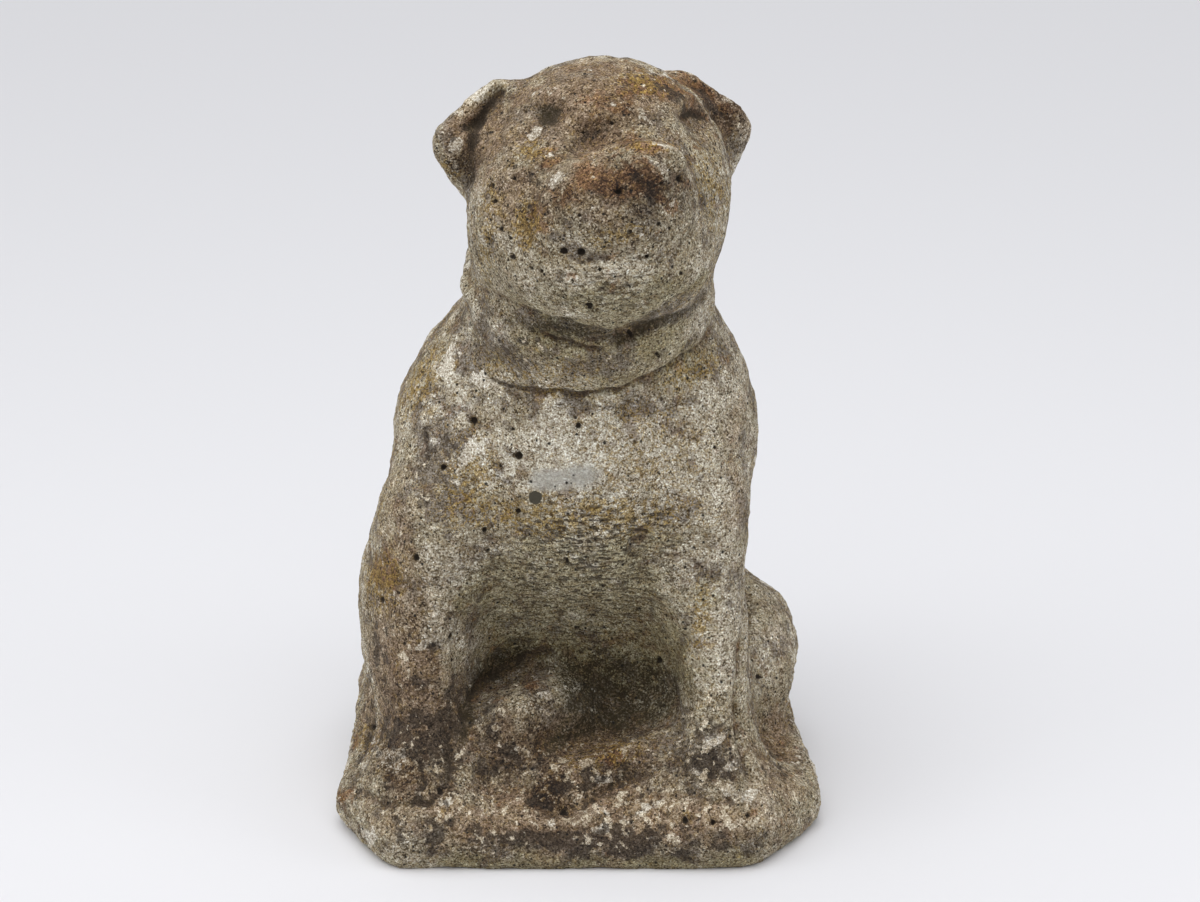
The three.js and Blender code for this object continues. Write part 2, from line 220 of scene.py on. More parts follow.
# Carving on the front. Places and widths are in pixels of the photograph, and heights in millimetres,
# where a minus cuts in. A line is a groove or ridge along a path.
frontLines = {
    "leftEarRim": {"path": [(503, 80), (484, 92), (464, 107), (447, 124), (438, 143)], "width": 4.5,
                   "height": 1.5},
    "leftEarHollow": {"path": [(507, 84), (495, 98), (484, 112), (470, 124), (454, 134)], "width": 6,
                      "height": -3.8},
    "leftEarSeam": {"path": [(488, 106), (478, 124), (471, 146), (469, 168), (467, 190)], "width": 4,
                    "height": -3.0},
    "leftEarFold": {"path": [(456, 133), (447, 147), (441, 160)], "width": 4, "height": -1.0},
    "rightEarGroove": {"path": [(683, 76), (702, 90), (718, 106), (730, 126), (736, 150)], "width": 4,
                       "height": -3.2},
    "rightEarRim": {"path": [(689, 72), (709, 84), (728, 99), (742, 116), (748, 136)], "width": 6,
                    "height": 1.2},
    "rightEarCrease": {"path": [(703, 82), (718, 95), (732, 111), (741, 128)], "width": 2.5,
                       "height": -0.9},
    "rightSocketFold": {"path": [(678, 118), (690, 114), (702, 115), (713, 119), (721, 128)],
                        "width": 3.6, "height": -1.9},
    "rightBrow": {"path": [(674, 106), (686, 98), (700, 97), (713, 104), (722, 115)], "width": 6,
                  "height": 1.3},
    "rightTemple": {"path": [(709, 96), (723, 110), (733, 128), (737, 150)], "width": 5, "height": 1.4},
    "rightTempleDip": {"path": [(712, 112), (722, 124), (728, 140), (730, 158)], "width": 4,
                       "height": -0.9},
    "leftEyeArc": {"path": [(499, 152), (500, 136), (507, 122), (520, 111)], "width": 4,
                   "height": -1.3},
    "besideMuzzle": {"path": [(600, 146), (575, 153), (553, 164), (538, 180)], "width": 7,
                     "height": -1.1},
    "leftBrow": {"path": [(531, 104), (545, 97), (561, 96), (575, 103)], "width": 7, "height": 0.8},
    "leftLowerLid": {"path": [(531, 124), (546, 128), (562, 126), (575, 119)], "width": 6,
                     "height": 0.8},
    "noseRim": {"path": [(627, 147), (640, 146), (655, 148), (668, 152), (679, 161), (685, 171)],
                "width": 4, "height": 2.5},
    "noseWing": {"path": [(661, 163), (668, 170), (672, 180), (670, 190)], "width": 4, "height": -0.8},
    "muzzleRidge": {"path": [(628, 147), (605, 154), (583, 164), (567, 175), (553, 188)], "width": 7,
                    "height": 2.1},
    "muzzleSide": {"path": [(553, 188), (547, 205), (543, 224), (541, 243)], "width": 7,
                   "height": 1.6},
    "muzzleSideDip": {"path": [(541, 192), (534, 208), (531, 226), (530, 244)], "width": 5,
                      "height": -1.3},
    "muzzleCheek": {"path": [(689, 176), (695, 195), (703, 211)], "width": 7, "height": -1.4},
    "underMouth": {"path": [(530, 246), (545, 252), (563, 257), (582, 260), (602, 259), (627, 257),
                            (650, 260), (673, 250), (695, 228), (707, 212)], "width": 5,
                   "height": -1.2},
    "chinCrease": {"path": [(477, 280), (488, 292), (505, 303), (528, 313), (554, 322), (580, 330),
                            (610, 335), (632, 329), (652, 318), (672, 305), (691, 292), (707, 276)],
                   "width": 4.5, "height": -3.2},
    "strapLap": {"path": [(536, 330), (550, 336), (569, 342.5), (590, 348.5), (605, 351)],
                 "width": 2.4, "height": -2.8},
    "strapTop": {"path": [(556, 337), (585, 341), (618, 339), (642, 329), (662, 320), (681, 310),
                          (698, 297)], "width": 3, "height": -1.8},
    "strapFoot": {"path": [(482, 369), (496, 382), (514, 388), (534, 390), (554, 393), (572, 396),
                           (594, 393.5), (620, 390), (639, 382), (657, 374), (681, 360), (698, 346),
                           (709, 328)], "width": 3, "height": -2.6},
    "strapRightEnd": {"path": [(704, 296), (707, 312), (708, 330)], "width": 2.5, "height": -1.0},
    "strapLeftRidge": {"path": [(469, 288), (472, 305), (475, 325), (479, 350)], "width": 5,
                       "height": 1.1},
    "strapLeftDip": {"path": [(481, 296), (484, 315), (488, 338)], "width": 5, "height": -1.0},
    "armpitLeft": {"path": [(470, 600), (461, 625), (457, 655), (458, 690), (463, 722)], "width": 7,
                   "height": -1.8},
    "armCrease": {"path": [(396, 488), (401, 508), (398, 530), (391, 552)], "width": 7,
                  "height": -1.0},
    "legInsideRight": {"path": [(697, 600), (686, 636), (673, 661), (674, 707), (682, 752),
                                (687, 785)], "width": 6, "height": -1.6},
    "legOutsideRight": {"path": [(749, 575), (748, 610), (746, 640), (739, 688), (739, 731),
                                 (747, 766), (754, 785)], "width": 4.5, "height": -3.4},
    "footTopLeft": {"path": [(464, 728), (467, 706), (482, 685), (506, 668), (532, 655), (562, 650)],
                    "width": 5, "height": -3.4},
    "footUnderLeft": {"path": [(532, 756), (546, 738), (562, 718), (578, 700), (594, 682)],
                      "width": 6, "height": -1.6},
    "footRidge": {"path": [(538, 772), (573, 769), (603, 759), (634, 750), (655, 748)], "width": 8,
                  "height": 2.8},
    "footFront": {"path": [(532, 772), (536, 797), (553, 813), (568, 811), (600, 794), (634, 778),
                           (664, 769)], "width": 8, "height": -3.2},
    "plinthLip": {"path": [(520, 822), (545, 823), (570, 819), (600, 806), (631, 791), (661, 776),
                           (680, 766)], "width": 7, "height": 2.2},
    "lipFront": {"path": [(500, 826), (524, 836), (560, 834), (594, 825), (617, 815)], "width": 5,
                 "height": -1.0},
    "toesRight": {"path": [(708, 752), (712, 766), (713, 780)], "width": 4, "height": -1.7},
    "toesRightOuter": {"path": [(728, 756), (731, 770), (731, 783)], "width": 4, "height": -1.6},
    "toesLeft": {"path": [(391, 758), (389, 774), (391, 790)], "width": 5, "height": -2.7},
    "toesLeftInner": {"path": [(420, 760), (422, 777), (421, 792)], "width": 5, "height": -2.7},
    "pawFootLeft": {"path": [(352, 786), (372, 799), (400, 805), (428, 802), (446, 792)], "width": 6,
                    "height": -2.8},
    "pawSideLeft": {"path": [(446, 728), (452, 750), (453, 772), (447, 792)], "width": 6,
                    "height": -2.2},
    "pawFootRight": {"path": [(686, 788), (704, 797), (728, 799), (752, 791)], "width": 5.5,
                     "height": -2.2},
}

# A mound is an oval swelling or hollow: the place of its middle, its half length and half width, its turn
# in degrees and its height.
frontMounds = {
    "leftSocket": (551, 112, 20, 12, -14, -2.5),
    "leftEye": (551, 115, 8, 6, 10, 0.5),
    "rightEye": (700, 131, 15, 9, 15, 0.5),
    "stop": (598, 131, 24, 11, -18, -0.9),
    "noseTip": (655, 170, 30, 20, 12, 2.0),
    "leftFlews": (582, 222, 40, 30, -8, 1.6),
    "rightFlews": (655, 226, 36, 26, -14, 1.4),
    "leftCheek": (503, 205, 26, 40, 0, 0.8),
    "leftEarLobe": (451, 160, 13, 17, 0, 1.0),
    "leftKnob": (466, 287, 9, 13, 0, 3.2),
    "rightKnob": (711, 291, 7, 12, 0, 2.4),
    "recessLeft": (508, 652, 26, 12, -32, -2.4),
    "recessRight": (622, 690, 50, 24, 0, -2.4),
    "slantingFoot": (528, 696, 50, 26, -36, 4.6),
    "slantingToe": (492, 722, 26, 26, 0, 1.6),
    "plinthHollow": (490, 796, 36, 20, 8, -1.6),
    "lipHollow": (628, 797, 40, 8, -24, -1.0),
    "leftFootTop": (399, 756, 36, 24, 0, 2.4),
    "rightFootTop": (712, 764, 28, 20, 0, 2.0),
    "cornerBulge": (352, 790, 14, 18, 0, 1.0),
    "chestDish": (600, 520, 90, 60, 0, -0.8),
}

# The larger air holes that the casting left: place and radius.
frontHoles = {
    "leftNostril": (618.5, 191.5, 3.4),
    "rightNostril": (680, 178, 4.0),
    "mouthHole": (563, 251, 4.2),
    "mouthHoleRight": (581, 252.5, 3.6),
    "jawHole": (511, 257, 3.0),
    "jawHoleRight": (648, 256.5, 2.8),
    "jawHoleLow": (531, 268, 2.2),
    "jawHoleLower": (541, 271, 2.2),
    "chinHoleHigh": (600, 269.5, 2.4),
    "chinHoleLeft": (572, 281, 2.2),
    "chinHoleRight": (682, 274, 2.2),
    "stopHole": (611.5, 123, 2.4),
    "stopHoleLeft": (583, 132, 2.0),
    "noseHole": (660, 183, 2.0),
    "muzzleHole": (658, 223.5, 2.6),
    "lipHole": (630, 232, 2.2),
    "lipHoleLeft": (606, 242, 1.9),
    "flewsHole": (580, 215, 2.0),
    "chinHole": (589, 308, 3.2),
    "chinHoleLow": (632, 336.5, 2.4),
    "cheekHole": (501, 229, 2.8),
    "cheekHoleHigh": (493, 185, 2.6),
    "cheekHoleLow": (495.5, 201, 2.6),
    "cheekHoleInner": (514.5, 178, 2.4),
    "cheekHoleSide": (488.5, 238.5, 2.2),
    "cheekHoleMiddle": (510, 238, 1.9),
    "strapHole": (657.5, 354, 2.6),
    "chestHole": (472.5, 420.5, 4.2),
    "chestHoleMiddle": (517, 456, 4.2),
    "chestHoleHigh": (578.5, 426, 3.2),
    "chestHoleSmall": (512.5, 429.5, 2.2),
    "shoulderHole": (443, 467, 3.0),
    "chestHoleLow": (517.5, 512.5, 3.0),
    "chestHoleRight": (715, 447.5, 2.0),
    "chestHoleLeft": (500, 466, 1.8),
    "trowelledHole": (566.5, 483.5, 1.9),
    "armHoleHigh": (409, 445.5, 1.8),
    "armHoleMiddle": (406, 478, 1.8),
    "armHoleInner": (420, 518.5, 2.0),
    "bellyHole": (484.5, 530.5, 2.8),
    "bellyHoleLeft": (488, 550.5, 2.0),
    "bellyHoleMiddle": (567, 562, 2.3),
    "bellyHoleLow": (532, 582, 2.0),
    "bellyHoleRight": (639, 609.5, 2.3),
    "armHole": (415.5, 558.5, 3.6),
    "armHoleLow": (380.5, 600, 2.6),
    "legHole": (452.5, 637, 3.6),
    "legHoleLow": (455, 661, 2.2),
    "legHoleLeft": (404, 644, 1.8),
    "legHoleHigh": (399, 592.5, 1.9),
    "haunchHole": (759.5, 677, 2.2),
    "recessHole": (657.5, 661, 3.4),
    "footHole": (440.5, 789, 4.0),
    "pitUnderFoot": (563.3, 808.8, 4.2),
    "rimHole": (684.5, 820, 3.8),
    "rimHoleRight": (712.5, 823, 2.8),
    "rimHoleFar": (748.5, 815, 2.2),
    "cornerHole": (373, 727, 2.6),
}


def roundedPath(path, steps=8):
    # a smooth curve through the points of a path
    ends = np.array(path, float)
    ends = np.vstack([2 * ends[0] - ends[1], ends, 2 * ends[-1] - ends[-2]])
    share = np.linspace(0, 1, steps, endpoint=False)[:, None]
    pieces = []
    for a, b, c, d in zip(ends[:-3], ends[1:-2], ends[2:-1], ends[3:]):
        bend = 2 * a - 5 * b + 4 * c - d + (3 * b - a - 3 * c + d) * share
        pieces.append(b + 0.5 * share * ((c - a) + share * bend))
    return np.vstack(pieces + [ends[-2:-1]])


def pathDistance(places, path, reach):
    # for each place: its distance from the path, and its share of the way along it
    nearest = np.full(len(places), np.inf)
    along = np.zeros(len(places))
    near = np.flatnonzero(
        np.all((places > path.min(0) - reach) & (places < path.max(0) + reach), 1))
    picked = places[near]
    steps = np.linalg.norm(np.diff(path, axis=0), axis=1)
    travelled = np.concatenate([[0], np.cumsum(steps)]) / steps.sum()
    for start, end, before, after in zip(path[:-1], path[1:], travelled[:-1], travelled[1:]):
        run = end - start
        share = np.clip((picked - start) @ run / (run @ run), 0, 1)
        gap = np.linalg.norm(picked - start - share[:, None] * run, axis=1)
        closer = gap < nearest[near]
        nearest[near[closer]] = gap[closer]
        along[near[closer]] = (before + share * (after - before))[closer]
    return nearest, along


def lineHeights(places, lines):
    total = np.zeros(len(places))
    for line in lines.values():
        width = line["width"]
        gap, along = pathDistance(places, roundedPath(line["path"]), 3 * width)
        taper = ramp(along, -0.05, 0.16) * ramp(1 - along, -0.05, 0.16)
        total += line["height"] * taper * np.exp(-((gap / width) ** 2))
    return total


def moundHeights(places, mounds):
    total = np.zeros(len(places))
    for across, down, halfLength, halfWidth, degrees, height in mounds.values():
        turn = math.radians(degrees)
        offset = places - np.array([across, down])
        long = offset[:, 0] * math.cos(turn) + offset[:, 1] * math.sin(turn)
        wide = offset[:, 1] * math.cos(turn) - offset[:, 0] * math.sin(turn)
        reach = (long / halfLength) ** 2 + (wide / halfWidth) ** 2
        total += height * np.clip(1 - reach / carvingSettings["moundReach"], 0, 1) ** 2
    return total


def holeHeights(places, holes, depth):
    total = np.zeros(len(places))
    for across, down, radius in holes.values():
        gap = np.linalg.norm(places - np.array([across, down]), axis=1)
        total -= depth * radius * ramp(1 - gap / radius, -0.35, 0.45)
    return total


def holeField(places, holes):
    # 1 in the middle of a hole, 0 at its rim and falling away from it
    field = np.full(len(places), -1.0)
    for across, down, radius in holes.values():
        gap = np.linalg.norm(places - np.array([across, down]), axis=1)
        field = np.maximum(field, 1 - gap / radius)
    return field


def seenFromCamera(piece, points):
    # 1 for a point that the camera sees, and 0 where something stands before it
    eye, _ = cameraPlace()
    tree = BVHTree.FromObject(piece, bpy.context.evaluated_depsgraph_get())
    seen = np.zeros(len(points))
    start = Vector(eye)
    for i, point in enumerate(points):
        way = Vector(point) - start
        hit = tree.ray_cast(start, way)
        seen[i] = hit[0] is None or hit[3] > way.length - carvingSettings["seenSlack"] * millimetre
    return seen


def wander(points, span, reach):
    # a slow random shift of each point, so that carved lines don't run too true
    return np.array([noise.noise_vector(Vector(point) / span) for point in points]) * reach


carvingSettings = {
    "wanderSpan": 9.0,  # mm
    "wanderReach": 2.6,  # pixels
    "wanderSeed": 2,  # fixed, so that every run carves the same
    "holeWander": 0.3,  # share of it that the holes get
    "holeDepth": 0.85,  # mm for each pixel of a hole's radius
    "moundReach": 2.2,  # squared, in half lengths, where a mound runs out
    "seenSlack": 3.0,  # mm that a point may lie behind the one that the camera meets
    "seenRounds": 3,  # of smoothing, where the seen part ends
    "grazing": (0.08, 0.34),  # cosines between which the carving fades at the outline
    "sideGrazing": (0.25, 0.6),
}

points = readPoints(statue.data)
normals = readNormals(statue.data)
eye, _ = cameraPlace()
toEye = eye - points
toEye /= np.linalg.norm(toEye, axis=1)[:, None]
facing = ramp((normals * toEye).sum(1), *carvingSettings["grazing"])
onFront = facing * seenFromCamera(statue, points)
onFront = neighbours.spread(onFront, carvingSettings["seenRounds"])[:, 0]
truePlaces = photoPlaces(points)
noise.seed_set(carvingSettings["wanderSeed"])
shifts = wander(points, carvingSettings["wanderSpan"] * millimetre, carvingSettings["wanderReach"])
places = truePlaces + shifts[:, :2]
relief = lineHeights(places, frontLines) + moundHeights(places, frontMounds)
holePlaces = truePlaces + carvingSettings["holeWander"] * shifts[:, :2]
holes = holeHeights(holePlaces, frontHoles, carvingSettings["holeDepth"])
points = points + normals * ((relief + holes) * onFront)[:, None] * millimetre
writePoints(statue.data, points)
print("front carved")

# Carving on the sides and the back, which the photograph doesn't show. Places are in millimetres, seen
# square on: (y, z) on the sides and (x, z) on the back.
sideLines = {
    "rightSide": {
        "facing": (-1, 0, 0), "axes": (1, 2),
        "lines": {
            "thigh": {"path": [(-30, 40), (-34, 80), (-14, 118), (24, 134), (66, 118), (92, 78)],
                      "width": 7, "height": -3.2},
            "shin": {"path": [(-22, 46), (8, 58), (40, 54)], "width": 6, "height": -2.2},
            "elbow": {"path": [(-38, 128), (-30, 158), (-34, 190)], "width": 8, "height": -2.0},
            "shoulderBlade": {"path": [(-24, 190), (4, 214), (10, 246)], "width": 9, "height": -1.6},
            "sole": {"path": [(-60, 34), (-10, 35), (50, 36)], "width": 4, "height": -2.0},
        },
    },
    "leftSide": {
        "facing": (1, 0, 0), "axes": (1, 2),
        "lines": {
            "thigh": {"path": [(-34, 40), (-38, 66), (-20, 92), (16, 104), (58, 90), (84, 58)],
                      "width": 7, "height": -3.2},
            "shin": {"path": [(-20, 44), (12, 54), (44, 48)], "width": 6, "height": -2.0},
            "elbow": {"path": [(-44, 112), (-34, 146), (-36, 184)], "width": 8, "height": -2.0},
            "shoulderBlade": {"path": [(-24, 190), (2, 214), (8, 244)], "width": 9, "height": -1.6},
            "sole": {"path": [(-60, 34), (-10, 35), (50, 36)], "width": 4, "height": -2.0},
        },
    },
    "back": {
        "facing": (0, 1, 0), "axes": (0, 2),
        "lines": {
            "spine": {"path": [(0, 100), (2, 150), (4, 210), (6, 250)], "width": 9, "height": -2.4},
            "leftBlade": {"path": [(28, 180), (36, 210), (34, 238)], "width": 9, "height": -2.2},
            "rightBlade": {"path": [(-26, 180), (-34, 210), (-32, 238)], "width": 9, "height": -2.2},
            "tailTop": {"path": [(16, 84), (-4, 90), (-24, 74), (-30, 46)], "width": 5,
                        "height": -3.6},
            "tail": {"path": [(14, 75), (-2, 76), (-14, 62), (-19, 44)], "width": 8, "height": 2.6},
            "tailUnder": {"path": [(14, 64), (4, 54), (-6, 38)], "width": 5, "height": -3.0},
            "leftHaunch": {"path": [(38, 40), (52, 74), (52, 108), (40, 134)], "width": 8,
                           "height": -3.4},
            "rightHaunch": {"path": [(-46, 40), (-58, 78), (-56, 114), (-42, 138)], "width": 8,
                            "height": -3.4},
        },
    },
}

relief = np.zeros(len(points))
for side in sideLines.values():
    turned = ramp(normals @ np.array(side["facing"], float), *carvingSettings["sideGrazing"])
    turned = turned * (1 - onFront)
    places = points[:, side["axes"]] / millimetre + shifts[:, :2]
    relief += lineHeights(places, side["lines"]) * turned
points = points + normals * relief[:, None] * millimetre
writePoints(statue.data, points)
print("sides and back carved")

# Weathering: years outdoors have worn the cast skin off down to the sand, opened its air holes and left
# fine torn ripples where the belly of the mould pulled.
weatherSettings = {
    "Lump Size": 13.0,  # mm, as are the rest
    "Lump Depth": 3.0,
    "Grit Size": 3.0,
    "Grit Depth": 1.9,
    "Ripple Size": 7.0,
    "Ripple Depth": 6.5,
    "Hole Spacing": 12.0,
    "Hole Radius": 1.3,
    "Hole Depth": 1.8,
}


def addNode(tree, kind, inputs=None, **settings):
    node = tree.nodes.new(kind)
    for name, value in settings.items():
        setattr(node, name, value)
    for name, value in (inputs or {}).items():
        socket = node.inputs[name]
        if isinstance(value, bpy.types.NodeSocket):
            tree.links.new(value, socket)
        else:
            socket.default_value = value
    return node


def weatheringTree(material):
    tree = bpy.data.node_groups.new("weatheredSkin", "GeometryNodeTree")
    tree.interface.new_socket("Geometry", in_out="INPUT", socket_type="NodeSocketGeometry")
    for name in weatherSettings:
        tree.interface.new_socket(name, in_out="INPUT", socket_type="NodeSocketFloat")
    tree.interface.new_socket("Geometry", in_out="OUTPUT", socket_type="NodeSocketGeometry")
    given = addNode(tree, "NodeGroupInput").outputs
    position = addNode(tree, "GeometryNodeInputPosition").outputs[0]

    def calc(operation, *values):
        return addNode(tree, "ShaderNodeMath", dict(enumerate(values)), operation=operation).outputs[0]

    def painted(name):
        return addNode(tree, "GeometryNodeInputNamedAttribute", {"Name": name},
                       data_type="FLOAT").outputs[0]

    def hills(size, depth, vector, detail):
        scale = calc("DIVIDE", 1.0, size)
        field = addNode(tree, "ShaderNodeTexNoise",
                        {"Vector": vector, "Scale": scale, "Detail": detail, "Roughness": 0.55})
        return calc("MULTIPLY", calc("SUBTRACT", field.outputs[0], 0.5), depth)

    lumps = hills(given["Lump Size"], given["Lump Depth"], position, 1.0)
    grit = calc("MULTIPLY", hills(given["Grit Size"], given["Grit Depth"], position, 1.0),
                painted("rough"))
    flattened = addNode(tree, "ShaderNodeVectorMath", {0: position, 1: (1.0, 1.0, 3.0)},
                        operation="MULTIPLY").outputs[0]
    ripples = calc("MULTIPLY", hills(given["Ripple Size"], given["Ripple Depth"], flattened, 2.0),
                   painted("ripple"))

    # a hole opens where a point of a random scatter in the stone lies near the surface
    shake = addNode(tree, "ShaderNodeTexNoise",
                    {"Vector": position, "Scale": calc("DIVIDE", 2.6, given["Hole Radius"])})
    shaken = addNode(tree, "ShaderNodeVectorMath",
                     {0: shake.outputs["Color"], 1: (1.2 * millimetre,) * 3, 2: position},
                     operation="MULTIPLY_ADD").outputs[0]
    scatter = addNode(tree, "ShaderNodeTexVoronoi",
                      {"Vector": shaken, "Scale": calc("DIVIDE", 1.0, given["Hole Spacing"])})
    chance = addNode(tree, "FunctionNodeSeparateColor", {0: scatter.outputs["Color"]}).outputs
    reach = calc("DIVIDE", given["Hole Radius"], given["Hole Spacing"])
    reach = calc("MULTIPLY", reach, calc("ADD", 0.4, calc("MULTIPLY", chance[0], chance[0])))
    opened = addNode(tree, "ShaderNodeMapRange",
                     {"Value": scatter.outputs["Distance"], "From Min": calc("MULTIPLY", reach, 1.1),
                      "From Max": calc("MULTIPLY", reach, 0.55)},
                     interpolation_type="SMOOTHSTEP").outputs[0]
    hole = calc("MULTIPLY", opened, calc("LESS_THAN", chance[1], painted("holey")))

    height = calc("ADD", calc("ADD", lumps, grit), ripples)
    height = calc("SUBTRACT", height, calc("MULTIPLY", hole, given["Hole Depth"]))
    height = calc("MULTIPLY", height, painted("free"))
    normal = addNode(tree, "GeometryNodeInputNormal").outputs[0]
    push = addNode(tree, "ShaderNodeVectorMath", {0: normal, "Scale": height},
                   operation="SCALE").outputs[0]
    moved = addNode(tree, "GeometryNodeSetPosition",
                    {"Geometry": given["Geometry"], "Offset": push}).outputs[0]
    kept = addNode(tree, "GeometryNodeStoreNamedAttribute",
                   {"Geometry": moved, "Name": "hole", "Value": hole},
                   data_type="FLOAT", domain="POINT").outputs[0]
    whole = addNode(tree, "GeometryNodeRealizeInstances", {"Geometry": kept}).outputs[0]
    dressed = addNode(tree, "GeometryNodeSetMaterial",
                      {"Geometry": whole, "Material": material}).outputs[0]
    addNode(tree, "NodeGroupOutput", {"Geometry": dressed})
    return tree


def weatherSkin(piece, material):
    tree = weatheringTree(material)
    modifier = piece.modifiers.new("weathering", "NODES")
    modifier.node_group = tree
    for item in tree.interface.items_tree:
        if item.name in weatherSettings:
            modifier[item.identifier] = weatherSettings[item.name] * millimetre
    bakeModifiers(piece)


